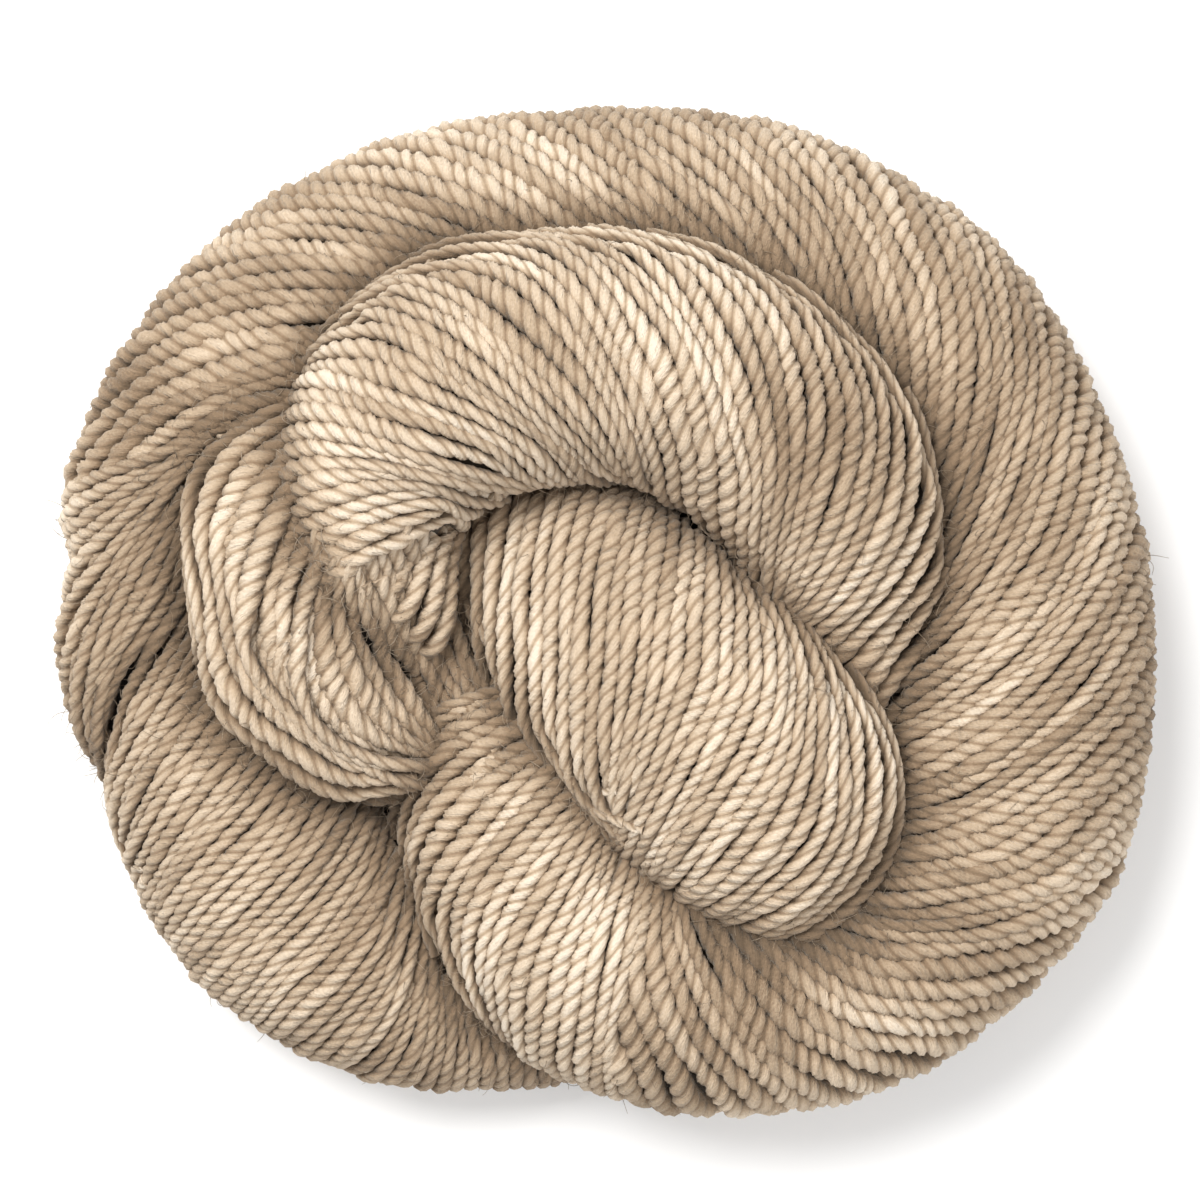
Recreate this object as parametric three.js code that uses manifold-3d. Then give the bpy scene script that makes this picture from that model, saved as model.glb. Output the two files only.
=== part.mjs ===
// A hank of plied knitting yarn, twisted and coiled up into a round nest.
// Millimetres, +Z up. The nest lies on its flat underside at z = 0, and the origin is
// in the middle of its plan. Seen from above, the bundle of yarn travels clockwise:
// it starts under the front and goes round the front left corner, where the outer ring
// folds over it. The ring turns in at the front and ends in a small coil on the floor.
// A second layer lies on that ring: an upper arch, a middle arm and, at the left,
// the loop end of the hank.
import * as THREE from "three";
import { mergeVertices } from "three/addons/utils/BufferGeometryUtils.js";
import Module from "manifold-3d";

// Driving dimensions
const NEST_ACROSS = 168;
const NEST_HEIGHT = 58;
const SIDES = 28; // corners round one section of the bundle
const STEP = 7; // longest distance from one section to the next
const ROWS_IN_A_LENGTH = 8; // rows of the table in one length of the bundle
const DOME_STEPS = 4; // sections in the rounded end of a bundle
const CENTRE = { x: 0.3, y: 0.6 }; // of the plan, in the tables' own x and y

// The bundle's sections, in the order of its travel, one row for each:
// x, y and z of the middle, then half the width and half the height of the oval section.
const FRONT_LEFT = [
  [-4.5, -56, 9.5, 16.5, 10.5],
  [-20, -55, 12.5, 18.5, 13.5],
  [-35.5, -50, 15.5, 20.5, 16.5],
  [-48.5, -40, 17, 21, 18],
  [-55.5, -27, 17, 20.5, 18],
  [-58.5, -13.5, 16.5, 19.5, 17.5],
  [-59.5, -1.5, 14.5, 18, 15.5],
  [-59, 10, 12, 15, 13],
];
const RING = [
  [-76.5, -19, 11, 3.5, 8],
  [-76.5, -13, 13.5, 6, 13],
  [-74.5, -3.5, 15.5, 10, 16.5],
  [-68.5, 5.5, 17, 15.5, 17.5],
  [-63.5, 17.5, 17.5, 19, 18],
  [-53, 33.5, 18.5, 21, 19.5],
  [-38, 46.5, 18.5, 21.5, 19.5],
  [-21, 53.5, 18.5, 21.5, 19.5],
  [-0.5, 55.5, 18.5, 21.5, 19.5],
  [17, 55, 18.5, 21.5, 19.5],
  [34, 49.5, 18.5, 21, 19.5],
  [49, 37.5, 18.5, 21, 19.5],
  [57.5, 21.5, 18.5, 21, 19.5],
  [61.5, 4, 18.5, 22, 19.5],
  [61.5, -13.5, 18.5, 22.5, 19.5],
  [56.5, -31.5, 18.5, 23, 19.5],
  [45.5, -45, 18.5, 22.5, 19.5],
  [32, -52, 18.5, 22.5, 19.5],
  [17.5, -54, 20, 22, 19.5],
  [3.5, -51, 22, 22, 19.5],
  [-6.5, -42.5, 24, 22, 19],
  [-11.5, -30, 24, 21.5, 18.5],
  [-15.5, -17, 20.5, 20, 18],
  [-19, -3, 17, 18.5, 17],
  [-14.5, 11, 15.5, 18, 16.5],
  [-1, 19.5, 15, 18, 16],
  [14, 15.5, 14.5, 18, 15.5],
  [21, 3, 14.5, 18, 15.5],
  [19, -11, 14.5, 16.5, 15.5],
];
const ARCH = [
  [-26.5, -7.5, 24, 5, 9],
  [-34, 1, 29, 9.5, 14],
  [-36.5, 13, 33, 14, 17],
  [-31.5, 26, 36, 18, 18],
  [-21, 35.5, 38, 20, 18.5],
  [-6.5, 39, 40, 19.5, 18],
  [8, 38, 40, 19.5, 18],
  [20.5, 32.5, 38, 19, 18],
  [30.5, 23.5, 35, 19, 18],
  [35, 13, 31, 18, 17],
  [35.5, 2.5, 25, 17.5, 16],
  [34.5, -10, 20, 16, 15],
];
const MIDDLE = [
  [-15.5, 22, 18, 14, 12],
  [-9, 10, 25, 17.5, 15],
  [-1, 0, 31, 21, 17.5],
  [8.5, -10.5, 34.5, 22.5, 18.5],
  [18, -19.5, 35, 23, 18.5],
  [24, -28, 33, 22.5, 18],
  [26, -35.5, 28, 19.5, 17],
  [25, -42.5, 21, 15, 14],
];
const LOOP_END = [
  [-40, 29.5, 24, 12.5, 13],
  [-47, 17.5, 31, 16.5, 14],
  [-48, 4.5, 33, 17, 14],
  [-45.5, -6.5, 32, 16.5, 14],
  [-39, -15, 29, 14.5, 13.5],
  [-29.5, -19, 25, 11.5, 12],
  [-20, -19.5, 20, 9, 11],
];

const wasm = await Module();
wasm.setup();

// A closed geometry as a solid that can be joined and cut.
function toSolid(geometry) {
  const plain = geometry.clone();
  plain.deleteAttribute("normal");
  plain.deleteAttribute("uv");
  const merged = mergeVertices(plain, 1e-4);
  const vertProperties = new Float32Array(merged.attributes.position.array);
  const triVerts = new Uint32Array(merged.index.array);
  return new wasm.Manifold(new wasm.Mesh({ numProp: 3, vertProperties, triVerts }));
}

// The solid's surface as a three.js geometry with its own normals.
function toGeometry(solid) {
  const mesh = solid.getMesh();
  const geometry = new THREE.BufferGeometry();
  geometry.setAttribute("position", new THREE.BufferAttribute(mesh.vertProperties, 3));
  geometry.setIndex(new THREE.BufferAttribute(mesh.triVerts, 1));
  geometry.computeVertexNormals();
  return geometry;
}

// One column of a smooth curve through four neighbouring rows, t from 0 to 1
// between the second row and the third.
function smooth(before, from, to, after, t) {
  const slopeIn = (to - before) / 2;
  const slopeOut = (after - from) / 2;
  const drop = from - to;
  const cubic = 2 * drop + slopeIn + slopeOut;
  const square = -3 * drop - 2 * slopeIn - slopeOut;
  return ((cubic * t + square) * t + slopeIn) * t + from;
}

// The row of a table at a place between rows, such as 2.5.
function rowAt(rows, place) {
  const last = rows.length - 1;
  const span = Math.min(Math.floor(place), last - 1);
  const pick = (index) => rows[THREE.MathUtils.clamp(index, 0, last)];
  return rows[0].map((_, column) =>
    smooth(
      pick(span - 1)[column],
      pick(span)[column],
      pick(span + 1)[column],
      pick(span + 2)[column],
      place - span,
    ),
  );
}

// A section: its middle, its two half axes, and the way the bundle travels there.
function sectionAt(rows, place) {
  const nudge = 0.01;
  const last = rows.length - 1;
  const point = (at) => new THREE.Vector3(...rowAt(rows, THREE.MathUtils.clamp(at, 0, last)));
  const travel = point(place + nudge).sub(point(place - nudge)).normalize();
  const side = travel.clone().cross(new THREE.Vector3(0, 0, 1)).normalize();
  const up = side.clone().cross(travel);
  const [x, y, z, halfWidth, halfHeight] = rowAt(rows, place);
  const middle = new THREE.Vector3(x - CENTRE.x, y - CENTRE.y, z);
  return { middle, travel, side, up, halfWidth, halfHeight };
}

// The sections that round off a bundle beyond its end, outermost last.
function domeSections(section, direction) {
  const reach = Math.min(section.halfWidth, section.halfHeight);
  return Array.from({ length: DOME_STEPS }, (_, index) => {
    const angle = (((index + 1) / DOME_STEPS) * Math.PI) / 2;
    const shrink = Math.max(Math.cos(angle), 0.02);
    return {
      ...section,
      middle: section.middle
        .clone()
        .addScaledVector(section.travel, direction * reach * Math.sin(angle)),
      halfWidth: section.halfWidth * shrink,
      halfHeight: section.halfHeight * shrink,
    };
  });
}

// A closed tube through the given sections.
function tubeThrough(sections) {
  const points = [];
  for (const { middle, side, up, halfWidth, halfHeight } of sections) {
    for (let corner = 0; corner < SIDES; corner += 1) {
      const angle = (corner / SIDES) * 2 * Math.PI;
      const point = middle
        .clone()
        .addScaledVector(side, halfWidth * Math.cos(angle))
        .addScaledVector(up, halfHeight * Math.sin(angle));
      points.push(point.x, point.y, point.z);
    }
  }
  const first = sections[0].middle;
  const end = sections[sections.length - 1].middle;
  points.push(first.x, first.y, first.z, end.x, end.y, end.z);
  const startHub = sections.length * SIDES;
  const endHub = startHub + 1;
  const lastRing = (sections.length - 1) * SIDES;
  const faces = [];
  for (let corner = 0; corner < SIDES; corner += 1) {
    const next = (corner + 1) % SIDES;
    for (let ring = 0; ring < lastRing; ring += SIDES) {
      faces.push(ring + corner, ring + SIDES + corner, ring + SIDES + next);
      faces.push(ring + corner, ring + SIDES + next, ring + next);
    }
    faces.push(startHub, corner, next);
    faces.push(endHub, lastRing + next, lastRing + corner);
  }
  const geometry = new THREE.BufferGeometry();
  geometry.setAttribute("position", new THREE.Float32BufferAttribute(points, 3));
  geometry.setIndex(faces);
  return geometry;
}

// A whole bundle, joined from lengths that share a row, so that it may lie on itself.
function bundle(rows) {
  const last = rows.length - 1;
  const places = [];
  for (let span = 0; span < last; span += 1) {
    const reach = sectionAt(rows, span).middle.distanceTo(sectionAt(rows, span + 1).middle);
    const steps = Math.ceil(reach / STEP);
    for (let step = 0; step < steps; step += 1) {
      places.push(span + step / steps);
    }
  }
  places.push(last);
  const lengths = [];
  for (let start = 0; start < last; start += ROWS_IN_A_LENGTH) {
    const stop = Math.min(start + ROWS_IN_A_LENGTH, last);
    const sections = places
      .filter((place) => place >= start && place <= stop)
      .map((place) => sectionAt(rows, place));
    if (start === 0) {
      sections.unshift(...domeSections(sections[0], -1).reverse());
    }
    if (stop === last) {
      sections.push(...domeSections(sections[sections.length - 1], 1));
    }
    lengths.push(toSolid(tubeThrough(sections)));
  }
  return lengths;
}

// The nest: all bundles joined, cut flat underneath, without closed hollows.
function nest() {
  const lengths = [FRONT_LEFT, RING, ARCH, MIDDLE, LOOP_END].flatMap(bundle);
  const joined = lengths.reduce((whole, length) => whole.add(length));
  const room = new THREE.BoxGeometry(2 * NEST_ACROSS, 2 * NEST_ACROSS, 2 * NEST_HEIGHT);
  room.translate(0, 0, NEST_HEIGHT);
  const cut = joined.intersect(toSolid(room));
  const shells = cut.decompose().sort((one, other) => other.volume() - one.volume());
  return shells[0];
}

const hank = new THREE.Mesh(
  toGeometry(nest()),
  new THREE.MeshStandardMaterial({ color: "#bda688", roughness: 0.95, metalness: 0 }),
);
hank.name = "hank";

const knittingYarn = new THREE.Group();
knittingYarn.add(hank);

export default knittingYarn;
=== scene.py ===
# %% [markdown]
# # A hank of knitting yarn, coiled up into a nest
# The real object is one long three-ply wool yarn. It was reeled into a skein, the skein was
# twisted into a bundle as thick as a wrist, and the bundle was coiled up into a round nest.
# The frame that is loaded here holds the nest as one solid. This lesson dresses it: it works
# out how every strand of yarn lies on the twisted bundle, sweeps a three-ply section along
# the strands that show, adds the loose fibres, and gives the wool its colour.

# %% Load the frame
import math

import bpy
import numpy as np
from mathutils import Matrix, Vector
from mathutils.bvhtree import BVHTree


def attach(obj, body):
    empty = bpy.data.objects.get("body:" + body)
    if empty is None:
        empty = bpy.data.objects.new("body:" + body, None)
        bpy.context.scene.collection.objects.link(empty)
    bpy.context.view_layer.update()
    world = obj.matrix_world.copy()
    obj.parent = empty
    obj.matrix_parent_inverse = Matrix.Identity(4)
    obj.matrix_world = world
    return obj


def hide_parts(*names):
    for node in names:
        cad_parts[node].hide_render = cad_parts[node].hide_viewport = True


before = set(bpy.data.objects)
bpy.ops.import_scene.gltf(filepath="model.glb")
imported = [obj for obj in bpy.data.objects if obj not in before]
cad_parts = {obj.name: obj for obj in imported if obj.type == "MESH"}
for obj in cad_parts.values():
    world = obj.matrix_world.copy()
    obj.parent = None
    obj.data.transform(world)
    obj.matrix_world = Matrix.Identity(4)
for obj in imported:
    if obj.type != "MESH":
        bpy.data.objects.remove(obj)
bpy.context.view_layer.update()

# %% [markdown]
# ## The bundle
# A skein that is twisted and laid down follows a smooth path, and its oval section is
# squashed where it lies on the table or under another turn. So a bundle is a short table of
# sections, the same ones that the solid is made from, in the order in which the bundle
# travels. Two more columns say how the yarn lies there: the angle between the strands and
# the bundle's own direction, and how far apart the strands are. The nest could be sculpted
# as one surface instead, but then the strands would have no path to follow.

# %% Sections of the bundle
MM = 0.001
PLAN_CENTRE = np.array([0.3, 0.6])
THINNEST = 0.02  # share of its size that the last section of a domed end keeps
# Columns: x, y and z of the middle, half the width, half the height, all in millimetres;
# then the lay of the strands in degrees and their spacing.
SECTIONS = {
    "front_left": [
        (-4.5, -56, 9.5, 16.5, 10.5, 84, 2.1),
        (-20, -55, 12.5, 18.5, 13.5, 84, 2.1),
        (-35.5, -50, 15.5, 20.5, 16.5, 83, 2.1),
        (-48.5, -40, 17, 21, 18, 82, 2.2),
        (-55.5, -27, 17, 20.5, 18, 60, 2.3),
        (-58.5, -13.5, 16.5, 19.5, 17.5, 50, 2.4),
        (-59.5, -1.5, 14.5, 18, 15.5, 36, 2.4),
        (-59, 10, 12, 15, 13, 30, 2.4),
    ],
    "ring": [
        (-76.5, -19, 11, 3.5, 8, 14, 2.9),
        (-76.5, -13, 13.5, 6, 13, 14, 3.0),
        (-74.5, -3.5, 15.5, 10, 16.5, 14, 3.4),
        (-68.5, 5.5, 17, 15.5, 17.5, 14, 3.4),
        (-63.5, 17.5, 17.5, 19, 18, 20, 2.8),
        (-53, 33.5, 18.5, 21, 19.5, 35, 2.45),
        (-38, 46.5, 18.5, 21.5, 19.5, 41, 2.4),
        (-21, 53.5, 18.5, 21.5, 19.5, 39, 2.35),
        (-0.5, 55.5, 18.5, 21.5, 19.5, 43, 2.3),
        (17, 55, 18.5, 21.5, 19.5, 44, 2.3),
        (34, 49.5, 18.5, 21, 19.5, 42, 2.3),
        (49, 37.5, 18.5, 21, 19.5, 41, 2.3),
        (57.5, 21.5, 18.5, 21, 19.5, 38, 2.15),
        (61.5, 4, 18.5, 22, 19.5, 42, 2.15),
        (61.5, -13.5, 18.5, 22.5, 19.5, 44, 2.15),
        (56.5, -31.5, 18.5, 23, 19.5, 41, 2.2),
        (45.5, -45, 18.5, 22.5, 19.5, 44, 2.3),
        (32, -52, 18.5, 22.5, 19.5, 46, 2.4),
        (17.5, -54, 20, 22, 19.5, 55, 2.5),
        (3.5, -51, 22, 22, 19.5, 59, 2.6),
        (-6.5, -42.5, 24, 22, 19, 57, 2.6),
        (-11.5, -30, 24, 21.5, 18.5, 57, 2.6),
        (-15.5, -17, 20.5, 20, 18, 60, 2.5),
        (-19, -3, 17, 18.5, 17, 48, 2.4),
        (-14.5, 11, 15.5, 18, 16.5, 48, 2.4),
        (-1, 19.5, 15, 18, 16, 48, 2.4),
        (14, 15.5, 14.5, 18, 15.5, 48, 2.4),
        (21, 3, 14.5, 18, 15.5, 48, 2.4),
        (19, -11, 14.5, 16.5, 15.5, 48, 2.4),
    ],
    "arch": [
        (-26.5, -7.5, 24, 5, 9, 78, 2.3),
        (-34, 1, 29, 9.5, 14, 78, 2.5),
        (-36.5, 13, 33, 14, 17, 70, 2.6),
        (-31.5, 26, 36, 18, 18, 62, 2.8),
        (-21, 35.5, 38, 20, 18.5, 53, 2.8),
        (-6.5, 39, 40, 19.5, 18, 46, 2.8),
        (8, 38, 40, 19.5, 18, 46, 2.7),
        (20.5, 32.5, 38, 19, 18, 45, 2.5),
        (30.5, 23.5, 35, 19, 18, 43, 2.4),
        (35, 13, 31, 18, 17, 38, 2.4),
        (35.5, 2.5, 25, 17.5, 16, 37, 2.4),
        (34.5, -10, 20, 16, 15, 40, 2.4),
    ],
    "middle": [
        (-15.5, 22, 18, 14, 12, 56, 2.7),
        (-9, 10, 25, 17.5, 15, 57, 2.7),
        (-1, 0, 31, 21, 17.5, 54, 2.7),
        (8.5, -10.5, 34.5, 22.5, 18.5, 56, 2.5),
        (18, -19.5, 35, 23, 18.5, 56, 2.3),
        (24, -28, 33, 22.5, 18, 50, 2.2),
        (26, -35.5, 28, 19.5, 17, 36, 2.2),
        (25, -42.5, 21, 15, 14, 36, 2.2),
    ],
    "loop_end": [
        (-40, 29.5, 24, 12.5, 13, 2, 3.1),
        (-47, 17.5, 31, 16.5, 14, 2, 3.2),
        (-48, 4.5, 33, 17, 14, 2, 3.3),
        (-45.5, -6.5, 32, 16.5, 14, 2, 3.2),
        (-39, -15, 29, 14.5, 13.5, 2, 3.1),
        (-29.5, -19, 25, 11.5, 12, 2, 3.0),
        (-20, -19.5, 20, 9, 11, 2, 3.0),
    ],
}


def rows_at(rows, places):
    """All columns of a table at places between its rows, on one smooth curve."""
    table = np.asarray(rows, float)
    last = len(table) - 1
    span = np.clip(np.floor(places).astype(int), 0, last - 1)
    t = (places - span)[:, None]
    before, start, stop, after = (table[np.clip(span + step, 0, last)] for step in (-1, 0, 1, 2))
    slope_in = (stop - before) / 2
    slope_out = (after - start) / 2
    drop = start - stop
    cubic = 2 * drop + slope_in + slope_out
    square = -3 * drop - 2 * slope_in - slope_out
    return ((cubic * t + square) * t + slope_in) * t + start


def unit(vectors):
    return vectors / np.linalg.norm(vectors, axis=-1, keepdims=True)


class Bundle:
    """The bundle's sections at many places; places beyond the table are its domed ends."""

    def __init__(self, rows, places):
        last = len(rows) - 1
        inside = np.clip(places, 0, last)
        beyond = places - inside
        nudge = 0.01
        columns = rows_at(rows, inside)
        ahead = rows_at(rows, np.clip(inside + nudge, 0, last))[:, :3]
        behind = rows_at(rows, np.clip(inside - nudge, 0, last))[:, :3]
        self.travel = unit(ahead - behind)
        self.side = unit(np.cross(self.travel, [0, 0, 1]))
        self.up = np.cross(self.side, self.travel)
        dome = np.abs(beyond) * math.pi / 2
        shrink = np.maximum(np.cos(dome), THINNEST)
        reach = np.minimum(columns[:, 3], columns[:, 4]) * np.sin(dome) * np.sign(beyond)
        self.middle = columns[:, :3] + self.travel * reach[:, None]
        self.middle[:, :2] -= PLAN_CENTRE
        self.wide = columns[:, 3] * shrink
        self.high = columns[:, 4] * shrink
        self.lay = np.radians(columns[:, 5])
        self.spacing = columns[:, 6]


def run_along(points):
    """How far along a line of points each of them lies."""
    hops = np.linalg.norm(np.diff(points, axis=0), axis=1)
    return np.concatenate([[0], np.cumsum(hops)])


def even_places(rows, step):
    """Places that lie a step apart along the bundle."""
    fine = np.linspace(-1, len(rows), 200 * len(rows))
    run = run_along(Bundle(rows, fine).middle)
    return np.interp(np.arange(0, run[-1], step), run, fine)


lengths = {
    name: run_along(Bundle(rows, np.arange(len(rows))).middle)[-1]
    for name, rows in SECTIONS.items()
}
print("length of each bundle, mm:", {name: round(length) for name, length in lengths.items()})

# %% [markdown]
# ## Surfaces to measure against
# To know which strands show, each bundle also gets a coarse closed surface. It isn't part
# of the model: a point of a strand is tested against the surfaces of the other bundles, and
# rays tell whether any light can reach it. The alternative, making all the strands and
# leaving the hidden ones in, would more than double the number of triangles.

# %% Coarse tubes and their search trees
TUBE_SIDES = 40
TUBE_STEP = 2.0  # mm
NARROWEST = 0.05  # mm, so that no tube turns inside out


def tube_points(bundle, inset, sides):
    """Rings of points round the bundle, inset below its surface."""
    angle = np.arange(sides) * 2 * math.pi / sides
    wide = np.maximum(bundle.wide - inset, NARROWEST)[:, None, None]
    high = np.maximum(bundle.high - inset, NARROWEST)[:, None, None]
    across = wide * np.cos(angle)[None, :, None] * bundle.side[:, None, :]
    upward = high * np.sin(angle)[None, :, None] * bundle.up[:, None, :]
    return bundle.middle[:, None, :] + across + upward


def tube_faces(rings, sides):
    """Quads between the rings and one face on each end, all facing outwards."""
    faces = []
    for ring in range(rings - 1):
        for corner in range(sides):
            beside = (corner + 1) % sides
            here = ring * sides
            there = here + sides
            faces.append((here + corner, there + corner, there + beside, here + beside))
    faces.append(tuple(range(sides)))
    end = (rings - 1) * sides
    faces.append(tuple(end + corner for corner in reversed(range(sides))))
    return faces


def closed_tube(rows, inset, sides, lowest):
    """A closed tube through a bundle, inset below its surface, as points and faces."""
    rings = tube_points(Bundle(rows, even_places(rows, TUBE_STEP)), inset, sides)
    rings[..., 2] = np.maximum(rings[..., 2], lowest)
    return rings.reshape(-1, 3), tube_faces(len(rings), sides)


def joined(parts):
    """Several pairs of points and faces as one."""
    points, faces = [], []
    for corners, quads in parts:
        shift = len(points)
        points.extend(corners.tolist())
        faces.extend(tuple(shift + corner for corner in face) for face in quads)
    return points, faces


def search_tree(names):
    """The coarse tubes of the named bundles in one search tree."""
    return BVHTree.FromPolygons(*joined(tubes[name] for name in names))


tubes = {name: closed_tube(rows, 0, TUBE_SIDES, 0) for name, rows in SECTIONS.items()}
tube_trees = {name: search_tree([name]) for name in tubes}
whole_tree = search_tree(tubes)
print("faces of the coarse tubes:", {name: len(faces) for name, (_, faces) in tubes.items()})

# %% [markdown]
# ## How the strands lie
# In the twisted bundle every strand comes up on the left side, crosses the top slantwise and
# goes down on the right. So a strand is found from the place where it crosses the middle of
# the top: from there it is followed both ways, a small turn round the bundle at a time,
# with the lay of the table telling how far it gets along the bundle meanwhile. Real wool is
# never laid evenly: some strands are thicker, and smooth noise lets them wander sideways and
# ride up, alone or in groups. The other way, a whole strand that winds round the bundle many
# times, gives no say in how it lies where it shows.

# %% Strands across the top of a bundle
STRAND_STEP = 0.4  # mm along a strand while it is laid out
PLUMPNESS = 0.67  # outer radius of a strand as a share of its distance to the next
GAPS = (1.7, 3.4)  # mm, narrowest and widest distance that its thickness follows
WANDER_GAPS = (0.5, 3)  # mm, narrowest and widest distance that its wandering follows
UNEVEN = 0.07  # change of the thickness along a strand
BEDDED = 0.85  # radii from the surface of the bundle down to the middle of a strand
ON_FLOOR = 0.95  # radii from the floor up to the middle of a strand
SKIN = 0.9  # mm above the surface, from where light is looked for
TURN_STEPS = 160
BELOW = math.radians(72)  # how far a strand is followed below the sides of the bundle
SIDE_SLANT = 0.4  # least pace along the bundle at its sides, as a share of that on top
CROWDED = 1.75  # mm between strands, under which every other one sinks
PACKED = 0.9  # mm less, at which it has sunk all the way
SUNK = 1.3  # mm that it sinks then
WIDTH_SPREAD = 0.14
WIDTH_SEED = 1000  # added to the seed of a set, for the widths of its strands
WIDTHS = (0.72, 1.35)  # narrowest and widest room of a strand as a share of the usual
# Shortest and longest waves of the noise along a strand, in mm.
WANDER_WAVES = (16, 60)
RIDE_WAVES = (18, 80)
THICK_WAVES = (20, 70)
RIDES = (-1.2, 1.0)  # mm, lowest and highest that the noise takes a strand
GROUP_STRANDS = (3.5, 14)  # strands in one wave of the noise that they share
GROUP_LENGTHS = (30, 110)  # mm in one of its waves


def smooth_noise(rng, count, along, shortest, longest, waves=4):
    """Smooth curves along the strands, one for each strand, with a spread of about 1."""
    lengths = rng.uniform(shortest, longest, (count, waves, 1))
    phases = rng.uniform(0, 2 * math.pi, (count, waves, 1))
    curves = np.sin(2 * math.pi * along[None, None, :] / lengths + phases)
    return curves.sum(axis=1) * math.sqrt(2 / waves)


def shared_noise(rng, count, along, waves=7):
    """Smooth noise that neighbouring strands share, with a spread of about 1."""
    total = np.zeros((count, len(along)))
    for _ in range(waves):
        across = np.arange(count)[:, None] / rng.uniform(*GROUP_STRANDS)
        lengthwise = along[None, :] / rng.uniform(*GROUP_LENGTHS)
        total += np.sin(2 * math.pi * (across + lengthwise) + rng.uniform(0, 2 * math.pi))
    return total * math.sqrt(2 / waves)


def read_at(places, known, values):
    """Values, or rows of values, that are known at some places, read at other places."""
    if values.ndim == 1:
        return np.interp(places, known, values)
    return np.stack([np.interp(places, known, column) for column in values.T], axis=1)


def spread_evenly(columns, count):
    """Rows spread evenly over a line whose first three columns are its places."""
    fine = rows_at(columns, np.linspace(0, len(columns) - 1, 3 * count))
    run = run_along(fine[:, :3])
    return read_at(np.linspace(0, run[-1], count), run, fine)


def gaps_between(lines):
    """Distance from each line to its neighbours, square to its direction."""
    ahead = unit(np.gradient(lines, axis=1))
    apart = np.diff(lines, axis=0)
    apart -= (apart * ahead[1:]).sum(axis=-1, keepdims=True) * ahead[1:]
    gap = np.linalg.norm(apart, axis=-1)
    return (np.concatenate([gap[:1], gap]) + np.concatenate([gap, gap[-1:]])) / 2


def smoothed(values, width=17):
    """Values smoothed along the strands, which are the second axis."""
    kernel = np.hanning(width) / np.hanning(width).sum()
    wide = [(0, 0)] * values.ndim
    wide[1] = (width // 2, width // 2)
    padded = np.pad(values, wide, "edge")
    return sum(share * padded[:, step:step + values.shape[1]] for step, share in enumerate(kernel))


def strand_set(name, over, lines, seed, ply_step, wander, ride, bunch, rise=0.0):
    """Strands with their thickness, from lines of points, outward directions and gaps.

    Wander is how far they stray sideways as a share of the gap, ride and bunch are how many
    mm they rise alone and in groups, and rise is how many mm all of them lie higher."""
    rng = np.random.default_rng(seed)
    longest = max(run_along(line[:, :3])[-1] for line in lines)
    count = int(longest / STRAND_STEP)
    along = np.arange(count) * STRAND_STEP
    columns = np.array([spread_evenly(line, count) for line in lines])
    points = columns[..., :3]
    outward = unit(smoothed(columns[..., 3:6]))
    gap = smoothed(columns[..., 6])
    ahead = unit(np.gradient(points, axis=1))
    across = np.cross(ahead, outward)
    odd = (np.arange(len(lines)) % 2)[:, None]
    sinking = np.clip((CROWDED - gap) / PACKED, 0, 1) * SUNK * odd
    sideways = smooth_noise(rng, len(lines), along, *WANDER_WAVES) * wander
    sideways = sideways * np.clip(gap, *WANDER_GAPS)
    height = smooth_noise(rng, len(lines), along, *RIDE_WAVES) * ride
    height = np.clip(height + shared_noise(rng, len(lines), along) * bunch, *RIDES)
    height = height + np.reshape(rise, (-1, 1)) - sinking
    radius = PLUMPNESS * np.clip(gap, *GAPS)
    radius = radius * (1 + UNEVEN * smooth_noise(rng, len(lines), along, *THICK_WAVES))
    height = height - radius * BEDDED
    laid = points + across * sideways[..., None] + outward * height[..., None]
    laid[..., 2] = np.maximum(laid[..., 2], radius * ON_FLOOR)
    return {
        "name": name,
        "over": over,
        "points": laid,
        "radius": radius,
        "outward": outward,
        "skin": points + outward * SKIN,
        "ply_step": ply_step,
    }


def cross_strands(label, name, seed, ply_step):
    """All strands that cross the top of a bundle."""
    rng = np.random.default_rng(seed + WIDTH_SEED)
    rows = SECTIONS[name]
    fine = np.linspace(-0.9, len(rows) - 0.1, 100 * len(rows))
    bundle = Bundle(rows, fine)
    run = run_along(bundle.middle)
    share = np.sin(bundle.lay) / bundle.spacing
    order = np.concatenate([[0], np.cumsum(share[1:] * np.diff(run))])
    widths = np.clip(1 + WIDTH_SPREAD * rng.normal(size=int(order[-1])), *WIDTHS)
    crossing = (np.cumsum(widths) - widths / 2) / widths.sum() * order[-1]
    slope = bundle.wide / np.tan(bundle.lay)
    angles = np.linspace(math.pi + BELOW, -BELOW, TURN_STEPS)
    turn = angles[0] - angles[1]
    top = TURN_STEPS // 2
    reached = np.empty((len(widths), TURN_STEPS))
    reached[:, top] = np.interp(crossing, order, run)
    for way in (1, -1):
        stop = TURN_STEPS - 1 if way > 0 else 0
        for step in range(top, stop, way):
            pace = max(abs(math.sin(angles[step])), SIDE_SLANT) * turn
            here = reached[:, step]
            reached[:, step + way] = here + way * pace * np.interp(here, run, slope)
    there = Bundle(rows, np.interp(reached, run, fine).ravel())
    cos = np.tile(np.cos(angles), len(widths))[:, None]
    sin = np.tile(np.sin(angles), len(widths))[:, None]
    wide, high = there.wide[:, None], there.high[:, None]
    points = there.middle + wide * cos * there.side + high * sin * there.up
    outward = unit(high * cos * there.side + wide * sin * there.up)
    shape = (len(widths), TURN_STEPS, 3)
    points, outward = points.reshape(shape), outward.reshape(shape)
    lines = np.concatenate([points, outward, gaps_between(points)[..., None]], axis=2)
    return strand_set(label, (name,), lines, seed, ply_step, wander=0.08, ride=0.22, bunch=0.18)


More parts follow.
